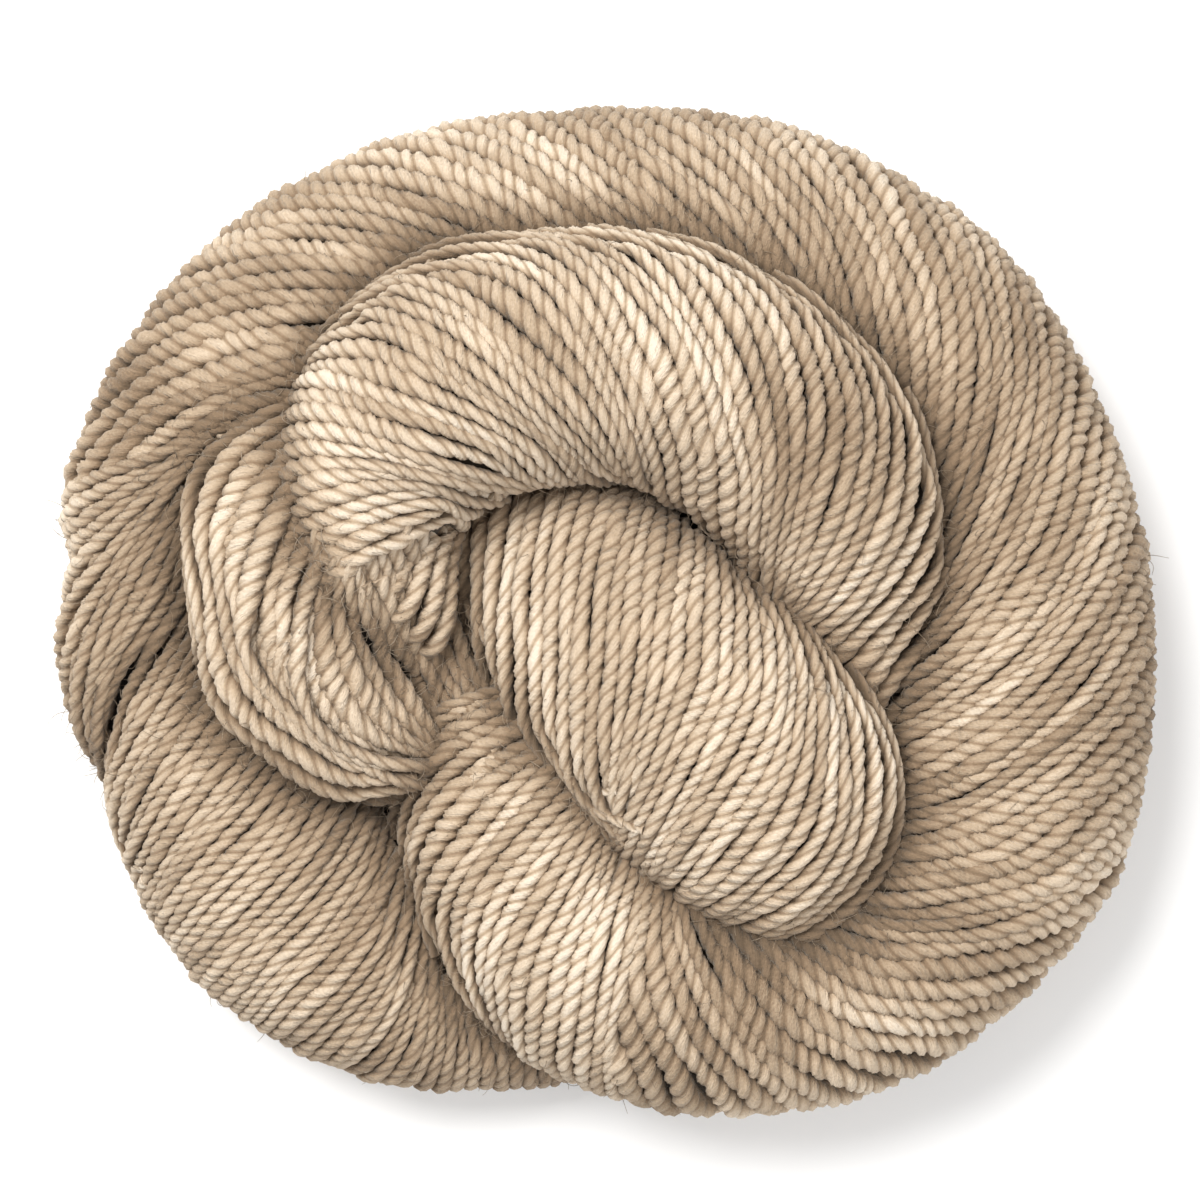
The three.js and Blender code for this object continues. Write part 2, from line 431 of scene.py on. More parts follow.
# For each bundle: the seed of its strands, and mm along them from one ply to the next.
CROSSING = {"ring": (23, 2.9), "front_left": (11, 2.9), "arch": (35, 2.9), "middle": (47, 2.8)}
laid = [cross_strands(f"{name}_twist", name, *settings) for name, settings in CROSSING.items()]
print("strands:", {one["name"]: one["points"].shape[:2] for one in laid})

# %% [markdown]
# ## Strands drawn one by one
# The steps above give the ring its even strands. Elsewhere, what is seen from above lies
# more freely. The ring folds over its own start and there spreads out like a fan, and
# strands come together where the arch and the middle arm dive under. The loop end of the
# hank lies open, with its strands side by side and small curls behind them. These strands
# are drawn as lines on the plan, and only some lines of a fan are given: the others are
# found between them. The crossing strands of a bundle stay below its drawn ones, as a layer
# that shows on the flanks. The whole ring could be drawn too, but hundreds of drawn lines
# never lie as evenly as twisted yarn.

# %% Lines of the drawn strands
# Over names the bundles that carry the strands. Each line is a row of points, x and y on
# the plan in millimetres, and z where it lies on no bundle. Goes on tells how far the strands
# follow the surface before and beyond their line, spacing how far apart the strands between
# the lines are, and rise how high they ride.
DRAWN = {
    "flap": {
        "over": ("ring", "front_left"),
        "seed": 71,
        "goes_on": (5, 26),
        "spacing": 2.05,
        "lines": [
            [(-60.2, 27.1), (-65.5, 25), (-70.8, 23), (-76.1, 21.4), (-81.2, 19.3)],
            [(-62.5, 24.7), (-67, 22), (-72.3, 19.3), (-77.3, 16.5), (-82.1, 13.2)],
            [(-63.7, 22.6), (-67.8, 19.4), (-71.9, 16.4), (-76.4, 12.9), (-81.8, 9)],
            [(-64.6, 20.5), (-68.2, 16.5), (-71.6, 12.9), (-75.2, 8.4), (-79.4, 3.9), (-82.4, -1)],
            [(-65.2, 18.1), (-68.5, 13.5), (-71.3, 9.6), (-74, 5.4), (-77, 0.5), (-79.4, -4.5),
             (-80.9, -9.7)],
            [(-65.2, 15.2), (-68.2, 10.7), (-70.7, 6.9), (-73.1, 2.3), (-75.5, -2.5),
             (-77.3, -7.9), (-78.5, -13.5), (-78.2, -18.1)],
            [(-64.9, 12.2), (-67, 8.1), (-69.1, 3.9), (-71.6, -0.1), (-73.7, -4.5), (-75.5, -9),
             (-77, -13.5), (-77.3, -18.5)],
            [(-64, 9.6), (-65.5, 5.4), (-68.2, 1.1), (-70.7, -2.8), (-72.8, -6.4),
             (-74.6, -10.4), (-76.1, -14.6), (-76.7, -19.6)],
            [(-62.5, 7.6), (-63.9, 3.2), (-66.3, -1), (-69, -4.9), (-71.6, -8.7), (-73.8, -12.8),
             (-75.5, -19.4)],
            [(-60.5, 6), (-62, 1.4), (-64.6, -2.8), (-67.2, -6.7), (-69.6, -10.7),
             (-71.9, -14.7), (-74.4, -20.3)],
            [(-60.5, 1.4), (-63.4, -4.5), (-66.4, -9.3), (-69.3, -13.7), (-72, -17.8),
             (-74.6, -22.4)],
            [(-60.7, -3.4), (-63.4, -8.8), (-66.3, -13.4), (-69, -17.5), (-71.7, -21.5),
             (-74.3, -26.1)],
        ],
    },
    "front_left": {
        "over": ("front_left",),
        "seed": 11,
        "goes_on": (8, 26),
        "spacing": 2.1,
        "rise": -0.4,
        "lines": [
            [(-61.5, 4.6), (-65.7, 0.1), (-69.2, -4.5), (-72, -9.4), (-74.5, -14.6), (-76, -19.5)],
            [(-61.8, 0.1), (-65.9, -3.7), (-69.2, -7.9), (-72.2, -12.7), (-74.6, -17.6),
             (-76, -22.6)],
            [(-61.8, -4.5), (-65.9, -8.2), (-69.3, -12.3), (-72.3, -16.8), (-74.6, -21.5),
             (-75.7, -26.3)],
            [(-62.1, -9), (-65.6, -12.6), (-68.9, -16.5), (-71.9, -20.9), (-74, -25.6),
             (-75.4, -30.1)],
            [(-61.3, -12.6), (-64.4, -16.1), (-67.7, -20), (-70.5, -24.2), (-73, -28.7),
             (-74.8, -33.6)],
            [(-59.7, -15.2), (-62.8, -19.1), (-66.2, -23.3), (-69.2, -27.5), (-71.9, -32.1),
             (-74, -36.6)],
            [(-57.3, -19.1), (-60.7, -23.2), (-64.2, -27.4), (-67.5, -31.8), (-70.2, -36.1),
             (-72.7, -40.7)],
            [(-54.1, -22.4), (-57.6, -26.8), (-61.2, -31), (-64.8, -35.2), (-67.8, -39.6),
             (-70.5, -44.1)],
            [(-51.2, -24.5), (-54.8, -28.6), (-58.6, -32.5), (-62.4, -36.6), (-65.9, -40.8),
             (-69, -46.2)],
            [(-47.3, -27.1), (-50.9, -31.8), (-54.8, -35.7), (-58.8, -39.6), (-62.7, -43.5),
             (-66.9, -49)],
            [(-43.1, -28.1), (-46.5, -33.3), (-50.6, -37.6), (-54.8, -41.7), (-59.1, -45.8),
             (-63.9, -51.5)],
            [(-39, -29.3), (-42.5, -34.8), (-46.4, -39.5), (-50.6, -43.8), (-55.1, -48.1),
             (-60.6, -54.1)],
            [(-35.5, -30.3), (-38.6, -36), (-42.5, -41.1), (-46.7, -45.8), (-51.5, -50.3),
             (-57.3, -56.8)],
            [(-33.4, -33.3), (-35.8, -38.9), (-39.5, -44), (-43.5, -48.7), (-48.2, -53),
             (-53.8, -59.5)],
            [(-31.9, -39.3), (-34.3, -44.1), (-37.9, -48.8), (-41.9, -53.2), (-46.4, -57.1),
             (-51.2, -62.5)],
            [(-30.7, -45.3), (-32.5, -50.5), (-35.2, -55.3), (-38.6, -59.5), (-42.5, -63.4),
             (-46.4, -67.1)],
            [(-28.9, -50.6), (-30.3, -55.8), (-32.4, -60.6), (-35.2, -64.8), (-38.6, -68.6)],
            [(-26.9, -54.7), (-27.7, -59.5), (-29.2, -64.1), (-31.5, -68.3), (-33.7, -70.8)],
            [(-25, -58), (-25.1, -62.5), (-26, -66.8), (-27.7, -70.8)],
            [(-22.4, -61.3), (-22.3, -64.8), (-22.7, -68.3), (-23.6, -71.6)],
            [(-19.4, -64.4), (-19.1, -67.4), (-19.2, -70.1), (-19.7, -72.3)],
            [(-15.6, -66.3), (-15.2, -69.3), (-15.2, -71.9)],
            [(-11.4, -67.8), (-11.1, -70.1), (-11.1, -72.2)],
            [(-7.2, -68.6), (-6.9, -70.8), (-7, -72.5)],
        ],
    },
    "lobe": {
        "over": ("ring",),
        "seed": 41,
        "goes_on": (10, 26),
        "spacing": 2.4,
        "lines": [
            [(-21.5, -12.7), (-26, -14.5), (-31.1, -18.4), (-34.8, -23.2), (-36.9, -28.6),
             (-37.8, -34.5), (-37.2, -40.8), (-35.6, -46.8), (-32.9, -52.5), (-29.9, -57.6),
             (-26.5, -62.7), (-22.4, -66.9)],
            [(-20, -13.4), (-24.5, -15.4), (-29.3, -19), (-32.7, -23.5), (-34.8, -28.6),
             (-35.6, -34.2), (-35, -40.2), (-33.3, -45.9), (-30.8, -51.3), (-27.8, -56.4),
             (-24.5, -61.2), (-20.6, -65.4)],
            [(-18.5, -14.5), (-23.6, -17.2), (-27.7, -20.5), (-30.6, -24.4), (-32.6, -28.9),
             (-33.3, -33.9), (-32.6, -39.3), (-30.9, -45), (-28.4, -50.1), (-25.4, -55.4),
             (-22.3, -59.9), (-18.2, -63.9)],
            [(-17.9, -16), (-22.7, -18.7), (-26.6, -21.7), (-29.6, -25.6), (-31.5, -29.9),
             (-32.1, -34.8), (-31.4, -39.9), (-29.9, -45.3), (-27.4, -50.4), (-24.4, -55.5),
             (-21.2, -60), (-17.3, -64.2)],
            [(-16.4, -17.9), (-20.9, -20.2), (-24.8, -23.2), (-28, -27.2), (-29.9, -31.8),
             (-30.5, -36.8), (-29.9, -42), (-28.4, -47.3), (-25.7, -52.5), (-22.6, -57.6),
             (-19.1, -62.1), (-15.5, -66.3)],
            [(-14.5, -21.2), (-18.7, -23.9), (-22.7, -27.2), (-26, -31.1), (-28.4, -35.4),
             (-29.3, -40.1), (-28.7, -45.2), (-26.6, -50.4), (-23.9, -55.5), (-20.6, -60.5),
             (-16.9, -65.3)],
            [(-11.3, -23.9), (-15.1, -27.5), (-18.5, -31.1), (-21.5, -34.8), (-24.2, -38.6),
             (-25.9, -42.5), (-26.2, -46.5), (-25, -51.2), (-22.6, -56.3), (-19.1, -61.5),
             (-15.4, -66.6)],
            [(-8.3, -26.9), (-12.2, -30.6), (-15.5, -34.2), (-18.7, -38.1), (-21.1, -42.2),
             (-22.6, -46.5), (-22.6, -51.2), (-21.1, -56.3), (-18.2, -61.5), (-14.8, -66.9)],
            [(-4.7, -29.3), (-8.8, -33.3), (-12.4, -37.2), (-15.4, -41.4), (-17.5, -46.1),
             (-18.7, -51), (-19, -56.1), (-17.9, -61.5), (-15.5, -67.4)],
            [(-1.4, -30.2), (-4.4, -34.5), (-7.1, -38.6), (-9.8, -42.8), (-12.4, -47),
             (-14.2, -51.5), (-15.1, -56.6), (-14.8, -62.3), (-13.7, -67.5)],
            [(1.3, -32.4), (-0.5, -37.1), (-2.6, -41.4), (-4.7, -45.8), (-6.8, -50.3),
             (-8.3, -55.1), (-9.2, -60), (-9.5, -65.1), (-9.5, -68.1)],
            [(4, -34.5), (2.5, -39.2), (1, -43.5), (-0.4, -47.9), (-1.6, -52.5), (-2.5, -57.3),
             (-3.2, -62.3), (-3.8, -67.5)],
            [(6.7, -36.3), (5.5, -41.3), (4.6, -45.9), (3.7, -50.7), (2.5, -55.7), (1.4, -60.6),
             (0.7, -66.9)],
        ],
    },
    "middle": {
        "over": ("middle",),
        "seed": 47,
        "goes_on": (10, 13),
        "spacing": 2.4,
        "lines": [
            [(-23.7, 14.2), (-24.3, 8.3), (-24.6, 2.3), (-24.3, -3.6), (-22.6, -9.6),
             (-20.5, -14.8), (-17.8, -20), (-13.6, -24.5), (-8.7, -27.8)],
            [(-21.1, 16.4), (-21.8, 11.2), (-22.1, 5.3), (-22.1, -0.7), (-21.1, -5.9),
             (-19.1, -11.1), (-17.2, -16.3), (-14.2, -21.1), (-10.2, -24.9), (-5.7, -27.8)],
            [(-18.4, 17.2), (-19.4, 11.2), (-19.9, 5.3), (-19.9, -0.7), (-19.3, -5.9),
             (-17.8, -11.1), (-16, -16.3), (-13, -21.1), (-8.7, -24.9), (-4.4, -27.6)],
            [(-15.4, 17.6), (-16.4, 11.2), (-17, 5.3), (-17.2, -0.7), (-16.9, -6.6),
             (-16.3, -12.6), (-14.8, -17.8), (-11.7, -22.3), (-7.1, -25.8)],
            [(-11.7, 17.9), (-13.3, 11.2), (-14.2, 5.3), (-14.7, -0.7), (-14.7, -6.6),
             (-14.4, -12.6), (-13.3, -17.8), (-10.6, -22.3), (-6.5, -25.8)],
            [(-8.7, 18.1), (-10.5, 11.2), (-11.4, 5.3), (-11.8, -0.7), (-12.1, -6.6),
             (-12, -12.6), (-11.2, -17.2), (-8.7, -21.4), (-5.6, -25.1)],
            [(-5.6, 18.2), (-7.7, 11.2), (-8.7, 5.3), (-9.2, -0.7), (-9.5, -6.6), (-9.5, -12.6),
             (-9, -16.7), (-7.2, -20.6), (-5, -24.5)],
            [(-2, 18.4), (-4.4, 11.2), (-5.6, 5.3), (-6.2, -0.7), (-6.5, -6.6), (-6.8, -12.6),
             (-6.5, -18.5), (-5.6, -23.7), (-3.5, -27.8)],
            [(1.3, 18.1), (-1, 11.2), (-2, 5.3), (-2.6, -0.7), (-3.1, -6.6), (-3.5, -12.6),
             (-3.8, -18.5), (-3.3, -24.5), (-1.7, -28.7)],
            [(4.5, 17.5), (2.8, 11.2), (1.3, 5.3), (0.7, -0.7), (0.2, -6.6), (-0.4, -12.6),
             (-0.8, -18.5), (-0.8, -24.5), (-0.1, -28.7)],
            [(6.9, 16.4), (5.4, 11.2), (4.2, 5.3), (3.6, -0.7), (3.1, -6.6), (2.2, -12.6),
             (1.4, -18.5), (0.8, -23.7), (0.8, -28.4)],
            [(9, 15.3), (8, 9.8), (7.2, 3.8), (6.6, -2.2), (5.7, -8.1), (4.5, -13.3),
             (3.3, -18.5), (2.2, -23.7), (1.3, -28.4)],
            [(11.4, 14.2), (10.5, 8.3), (9.6, 2.3), (9, -3.6), (8.1, -8.9), (6.9, -14.1),
             (5.1, -19.3), (3.5, -24.2), (1.9, -29)],
            [(13.6, 13), (12.9, 6.8), (12.1, 0.8), (11.7, -5.1), (10.5, -10.3), (8.7, -14.8),
             (6.9, -19.7), (5, -24.6), (2.8, -29.7)],
            [(15.6, 11.7), (15.3, 5.3), (14.8, -0.7), (14.4, -6.6), (13.2, -11.1), (11.4, -15.6),
             (9.3, -20.3), (7.1, -25.4), (4.2, -30.7)],
            [(17.6, 10.2), (17.9, 3.8), (17.6, -2.2), (17.3, -7.4), (16.2, -11.8), (14.1, -16.3),
             (11.7, -21.2), (9.2, -26.1), (5.9, -32.2)],
            [(19.6, 8.7), (20.6, 2.3), (20.6, -3.6), (20.3, -8.9), (18.8, -13.3), (16.7, -17.8),
             (14.4, -22.3), (11.5, -27.3), (7.7, -33.9)],
            [(21.5, 7.2), (23.3, 0.8), (23.6, -5.1), (23.3, -10.3), (21.8, -14.8), (19.6, -19.3),
             (16.7, -23.7), (13.6, -28.7), (9.3, -35.7)],
            [(23.6, 5.3), (26.3, -1.6), (26.7, -7.7), (26.3, -13.2), (25.1, -18.1), (23, -22.6),
             (20, -27), (16.3, -31.9), (11.7, -37.9)],
            [(26, 3.2), (28.8, -3.3), (29.7, -9.5), (29.4, -15.1), (28.8, -20), (27, -24.5),
             (24.5, -28.8), (20.8, -33.9), (15.9, -39.7)],
            [(28.2, 1.3), (31.5, -5.6), (32.8, -12.4), (32.8, -18.4), (32.4, -23.6),
             (31.3, -28.4), (29.1, -33.3), (25.5, -37.6), (20.6, -41.8)],
            [(30.4, -0.7), (33.7, -7.1), (35.4, -13.9), (35.7, -20), (35.5, -25.8),
             (34.8, -30.4), (32.7, -34.9), (29.3, -39.1), (24.5, -42.9)],
            [(32.5, -3.1), (36.1, -9.5), (37.9, -15.9), (38.3, -21.5), (38.3, -26.7),
             (37.6, -31.6), (35.8, -35.8), (32.8, -39.7), (28.8, -43.5)],
            [(34.9, -5.6), (38.5, -11.7), (40.6, -17.8), (41.2, -23.3), (40.9, -28.2),
             (40, -32.7), (38.2, -36.7), (35.7, -40.3), (32.2, -43.7)],
            [(37.4, -8.1), (40.9, -13.9), (42.8, -19.7), (43.4, -25.2), (43.1, -29.7),
             (42.2, -33.9), (40.6, -37.6), (38.2, -40.9), (35.5, -43.4)],
            [(40.4, -11.4), (43.1, -16.7), (44.6, -22.3), (45.2, -27.5), (44.9, -31.9),
             (43.8, -36), (41.9, -39.4), (39.4, -42.2)],
            [(43.1, -12.6), (45.6, -17.8), (47.1, -23.3), (47.6, -28.7), (47.1, -33.4),
             (45.8, -37.6), (43.7, -41.2)],
        ],
    },
    "arch": {
        "over": ("arch",),
        "seed": 83,
        "goes_on": (15, 14),
        "spacing": 2.5,
        "lines": [
            [(51.4, -1.4), (50.1, -5.1), (47.8, -9.3), (45.2, -13.1), (42.5, -17)],
            [(51.9, 3), (50.5, -1), (48.1, -5.1), (45.2, -9.3), (42.2, -13.4)],
            [(51.9, 7.5), (50.7, 3.5), (48.1, -1), (44.9, -5.4), (41.6, -9.9)],
            [(51.9, 11.9), (50.7, 7.5), (47.8, 2.7), (44.4, -1.9), (41, -6.6)],
            [(51.4, 17.1), (51.9, 11.9), (50.5, 7), (47.7, 2.6), (44.3, -1.3), (40.7, -4.8)],
            [(50.1, 20.8), (50.5, 15.7), (49.3, 10.5), (46.7, 5.6), (43.2, 1.4), (39.2, -2.4),
             (37.3, -4.4)],
            [(47.7, 27.5), (48.9, 22.3), (48.9, 16.8), (47.1, 11.2), (44.1, 6.2), (40.6, 2),
             (36.6, -1.9)],
            [(44, 34.2), (46.1, 29), (46.8, 23.4), (46.1, 17.4), (44, 11.8), (41, 6.8),
             (37.6, 2.6), (33.9, -1)],
            [(39.5, 40.1), (42.5, 35.2), (43.8, 29.6), (43.8, 23.7), (42.7, 17.7), (40.4, 12.1),
             (37.6, 7), (34.5, 2.9), (31.8, 0.2)],
            [(34.3, 44.6), (38.1, 40.3), (40.1, 34.9), (40.9, 29), (40.3, 23.1), (38.8, 17.1),
             (36.6, 11.5), (33.9, 6.5), (30.9, 2.3)],
            [(28.4, 49), (32.7, 45), (35.5, 40), (37, 34.3), (37.3, 28.4), (36.4, 22.5),
             (34.8, 16.5), (32.7, 10.9), (30.3, 5.9), (28.3, 2.6)],
            [(22, 52.7), (26.8, 48.9), (30, 44.1), (32.1, 38.8), (33.2, 32.9), (33, 26.9),
             (32, 21), (30.3, 15.1), (28.6, 9.4), (26.8, 4.7)],
            [(15.8, 54.8), (20.5, 51.6), (24.1, 47.1), (26.5, 42.1), (28.1, 36.4), (28.9, 30.5),
             (28.9, 24.6), (28, 18.6), (26.8, 12.7), (25.3, 6.5)],
            [(9.1, 56), (14.3, 53.3), (18.5, 49.2), (21.4, 44.4), (23.5, 39.1), (25, 33.2),
             (25.6, 27.2), (25.6, 21.3), (25, 15.4), (24, 8.5)],
            [(2.4, 56.9), (7.6, 54.8), (11.9, 51), (15.2, 46.2), (17.9, 40.9), (20.3, 35.2),
             (21.7, 29.3), (22.5, 23.4), (22.8, 17.1), (22, 10.5)],
            [(-5, 57.5), (1, 56), (5.7, 52.4), (9.6, 48), (12.8, 42.9), (15.5, 37.2),
             (17.6, 31.2), (19.1, 25.3), (20, 19.4), (19.5, 13)],
            [(-12.4, 57.3), (-6.5, 56.9), (-1.1, 54.5), (3.2, 50.7), (6.9, 45.9), (10.2, 40.6),
             (12.5, 34.6), (14, 28.3), (15.1, 21.6), (14.9, 15.7)],
            [(-19.1, 56.7), (-13.1, 56.9), (-7.6, 55.3), (-3.5, 51.9), (-0.1, 47.3), (3, 41.8),
             (5.7, 35.7), (7.9, 29.3), (9.6, 22.8), (10.2, 17.4)],
            [(-25.7, 53.9), (-19.8, 54.5), (-13.6, 53.6), (-8.2, 50.7), (-4.4, 46.2),
             (-1.1, 40.3), (1.9, 34.3), (4.5, 27.5), (6.3, 22.2), (7.3, 18.6)],
            [(-30.2, 51.3), (-24.3, 52.1), (-18, 51.3), (-12.1, 48.3), (-7.6, 43.4),
             (-3.5, 37.6), (0.1, 31.4), (3, 25.4), (4.8, 20.1)],
            [(-34.6, 48.9), (-30.2, 50.1), (-24.3, 48.3), (-19.5, 45.6), (-15.1, 41.8),
             (-10.3, 37.3), (-5.6, 32), (-1.1, 26), (2.2, 20.4)],
            [(-36.7, 46.8), (-31.7, 48), (-25.7, 46.1), (-21, 43.4), (-16.2, 39.4),
             (-11.5, 34.3), (-6.8, 29), (-2.6, 24.6), (0.4, 20.4)],
            [(-38.8, 44.4), (-33.9, 45.8), (-28.7, 44.1), (-23.7, 41.5), (-18.6, 37.3),
             (-13.9, 32.9), (-9.1, 28.4), (-5, 24), (-1.7, 20.4)],
            [(-42.9, 41.2), (-40, 42.9), (-35.2, 43.2), (-29.6, 41.5), (-24, 37.9),
             (-18.6, 34.2), (-13.9, 30.5), (-9.1, 26), (-5, 22.5), (-2.6, 20.1)],
            [(-44.6, 38.8), (-40, 40.3), (-33.8, 39.7), (-27.5, 36.7), (-21.6, 33.6),
             (-15.7, 30), (-10.6, 26.3), (-6.5, 22.3), (-4.7, 20.1)],
            [(-46.5, 36.1), (-42.4, 37), (-36.1, 36.3), (-29.9, 34.2), (-24, 31.4), (-18, 28.3),
             (-12.1, 24.6), (-7.6, 20.1)],
            [(-48.7, 33.2), (-44.7, 34.5), (-38.8, 33.8), (-32.9, 31.8), (-26.9, 29.7),
             (-21, 27.4), (-15.1, 24.3), (-10.3, 20.1)],
            [(-49.8, 30.5), (-46.2, 32), (-40.3, 31.7), (-34.3, 30.2), (-28.4, 28.3),
             (-22.5, 26), (-16.8, 23.7), (-12.7, 20.1)],
            [(-50.7, 27.1), (-46.5, 28.9), (-40.6, 28.4), (-34.6, 26.5), (-28.7, 24.6),
             (-22.8, 22.8), (-17.4, 21.1), (-14.8, 19.8)],
            [(-49.9, 24.6), (-45, 26.3), (-39.1, 25.7), (-33.2, 24.3), (-27.2, 22.6),
             (-21.9, 21.1), (-17.7, 19.8)],
            [(-49, 22.3), (-45, 23.8), (-39.1, 23.4), (-33.2, 22.8), (-27.2, 21.1), (-22.5, 20),
             (-19.8, 19.2)],
            [(-48.4, 20), (-43.8, 21.7), (-37.9, 22), (-32, 21.3), (-26.5, 20.3), (-22.8, 19.5),
             (-20.7, 18.8)],
            [(-47.5, 17.6), (-42.8, 19.5), (-36.9, 20.4), (-30.9, 20.4), (-25.7, 19.5),
             (-22.8, 18.6), (-21.3, 17.7)],
            [(-44.9, 15.4), (-40.6, 17.1), (-34.6, 18.5), (-28.7, 18.8), (-24.3, 18),
             (-21.6, 16.8)],
            [(-43.5, 13), (-39.1, 14.5), (-33.9, 16.4), (-28.3, 17.3), (-24, 17.1), (-21.6, 15.9)],
            [(-42.4, 10.6), (-38.1, 12.7), (-32.4, 14.5), (-27.2, 15.8), (-23.5, 16.1),
             (-21.6, 15.1)],
            [(-40.6, 8.7), (-36.6, 10.6), (-31.7, 12.7), (-26.6, 14.2), (-22.8, 15.1),
             (-21.3, 14.2)],
            [(-38.2, 7), (-34, 9.4), (-28.9, 11.2), (-24.6, 13), (-22, 13.9), (-21, 13.3)],
        ],
    },
    "loop": {
        "over": ("loop_end",),
        "seed": 59,
        "goes_on": (5, 5),
        "rise": [-1.2, 0, 0.2, 0, 0.2, 1.0, -1.0, -0.6, 0.9, -0.7],
        "lines": [
            [(-50.1, 34), (-57.8, 29.2), (-61.7, 25.3), (-64.1, 20.2), (-64.8, 14.3), (-64.4, 8),
             (-63.4, 2.3), (-62.8, -3.7), (-62.5, -9.6), (-60.7, -14.7), (-56.6, -19.8),
             (-51, -24.4), (-44.5, -28), (-38.6, -30.2), (-32.2, -29.6)],
            [(-48.9, 32.2), (-56, 27.7), (-59.8, 24.4), (-62.2, 19.8), (-63.1, 14.3),
             (-62.6, 8.3), (-61.4, 2.3), (-60.8, -3.7), (-60.7, -8.9), (-59, -13.2),
             (-55.3, -17.8), (-49.9, -22.2), (-43.8, -25.6), (-38.6, -27.7), (-32.6, -27.1)],
            [(-47.7, 29.8), (-54.2, 25.9), (-58.3, 21.1), (-60.2, 15.7), (-60.5, 9),
             (-59.5, 3.1), (-58.6, -3.7), (-57.8, -9.3), (-54.2, -14.6), (-49, -19.2),
             (-43.8, -22.5), (-38.4, -25.1), (-32.6, -25.1)],
            [(-47.4, 27.1), (-53.4, 22.6), (-56.3, 17.5), (-57.8, 11.3), (-57.8, 5.3),
             (-56.5, -1.4), (-55.3, -6.3), (-51.9, -11.9), (-47.4, -16.3), (-42.2, -20.2),
             (-36.9, -23.1), (-31.6, -23.7)],
            [(-46.8, 24), (-51, 19), (-53.7, 13.5), (-55.1, 8.3), (-55.3, 3.8), (-54.4, -1),
             (-53.4, -5.9), (-51, -10.4), (-46.8, -15), (-42, -18.9), (-36.6, -21.9), (-31, -22.8)],
            [(-45.9, 20.2), (-48.4, 15.4), (-50.7, 10.5), (-52.3, 6), (-53.2, 1.6),
             (-53.8, -2.9), (-52.5, -7.4), (-49.5, -12.3), (-45.3, -17.4), (-40.5, -20.8),
             (-35.4, -23.2), (-31, -24.6)],
            [(-45.3, 14.3), (-47.7, 9), (-49.5, 3.8), (-50.1, -1.4), (-49.5, -6.6),
             (-47.7, -11.4), (-44.4, -15.9), (-40.2, -19.3), (-34.8, -21.6)],
            [(-44.1, 10.5), (-46.5, 5.3), (-47.7, 0.1), (-47.7, -5.1), (-46.8, -10.4),
             (-44.4, -15), (-40.2, -18.6), (-35.4, -21)],
            [(-42.3, 8.3), (-44.3, 2.9), (-45.3, -2.9), (-45.4, -8.9), (-44.3, -14.1),
             (-40.7, -18.6), (-36, -21.1), (-30.1, -22.2)],
            [(-41.4, 6.5), (-43.1, 1.6), (-43.5, -3.7), (-42.9, -9.6), (-40.8, -14.8),
             (-36.9, -18.6), (-31.6, -21)],
        ],
    },
    "loop_inner": {
        "over": ("loop_end", "arch"),
        "seed": 73,
        "goes_on": (4, 5),
        "rise": [0.1, 0.4, -0.2, 0.2, -0.3, -0.6],
        "lines": [
            [(-40.6, 5.6), (-41.4, 0.1), (-41.2, -5.9), (-39.7, -11.4), (-36.7, -15.9),
             (-32.8, -18.9), (-28.6, -20.4)],
            [(-39.4, 5.3), (-39.4, -0.4), (-38.2, -5.9), (-36.1, -10.7), (-33.4, -14.7),
             (-30.4, -17.7), (-27.4, -19.3)],
            [(-37.9, 4.6), (-37, -1.3), (-34.9, -6), (-32.5, -10.5), (-29.8, -14.7), (-26.8, -18)],
            [(-36.1, 3.8), (-34.3, -2.9), (-31.7, -7.2), (-29.4, -11.1), (-27.1, -14.7),
             (-25.3, -17.1)],
            [(-33.7, 1.4), (-30.7, -4.6), (-28.2, -8.3), (-25.9, -11.4), (-24.7, -14.4)],
            [(-31.3, 2.3), (-28.3, -2.8), (-25.6, -6.6), (-23.5, -10.1), (-22.3, -13.2)],
        ],
    },
    "loop_below": {
        "over": ("loop_end",),
        "seed": 61,
        "goes_on": (5, 5),
        "spacing": 2.4,
        "rise": -1.4,
        "lines": [
            [(-40.5, 5.6), (-41.4, 0.1), (-41.1, -5.9), (-39.6, -11.4), (-36.6, -15.9),
             (-32.8, -18.9), (-28.6, -20.4)],
            [(-37.8, 4.6), (-36.9, -1.3), (-34.8, -6), (-32.5, -10.5), (-29.8, -14.7),
             (-26.8, -18)],
            [(-33.7, 1.4), (-30.7, -4.6), (-28.1, -8.3), (-25.9, -11.4), (-24.7, -14.4)],
        ],
    },
    "nook": {
        "over": ("ring", "arch", "middle", "loop_end"),
        "seed": 67,
        "goes_on": (4, 4),
        "spacing": 2.3,
        "rise": -0.7,
        "lines": [
            [(-42.9, 9.1), (-42.3, 2.3), (-40.5, -4.4), (-37.8, -10.4), (-33.9, -14.9),
             (-29.3, -18.4)],
            [(-40.3, 9.5), (-38.8, 2.9), (-36.6, -3.7), (-33.6, -9.2), (-29.8, -13.6),
             (-25.4, -16.9)],
            [(-37.2, 9.8), (-35.1, 3.5), (-32.1, -2.6), (-28.7, -7.9), (-25.4, -11.8),
             (-22.3, -14.8)],
            [(-33.6, 10.1), (-31.2, 4.1), (-27.8, -1.3), (-24.5, -6.1), (-21.5, -10.3)],
            [(-29.8, 10.6), (-27.5, 5), (-24.5, 0.1), (-21.8, -4.4), (-19.4, -7.9)],
            [(-26, 11), (-24.2, 6.1), (-21.8, 1.6), (-19.4, -2.2)],
        ],
    },
    "curls": {
        "over": (),
        "seed": 97,
        "lines": [
            [(-29.6, 12.2, 42), (-32.1, 10.1, 43.5), (-33.5, 7.7, 44.5), (-33.9, 5.3, 44.5),
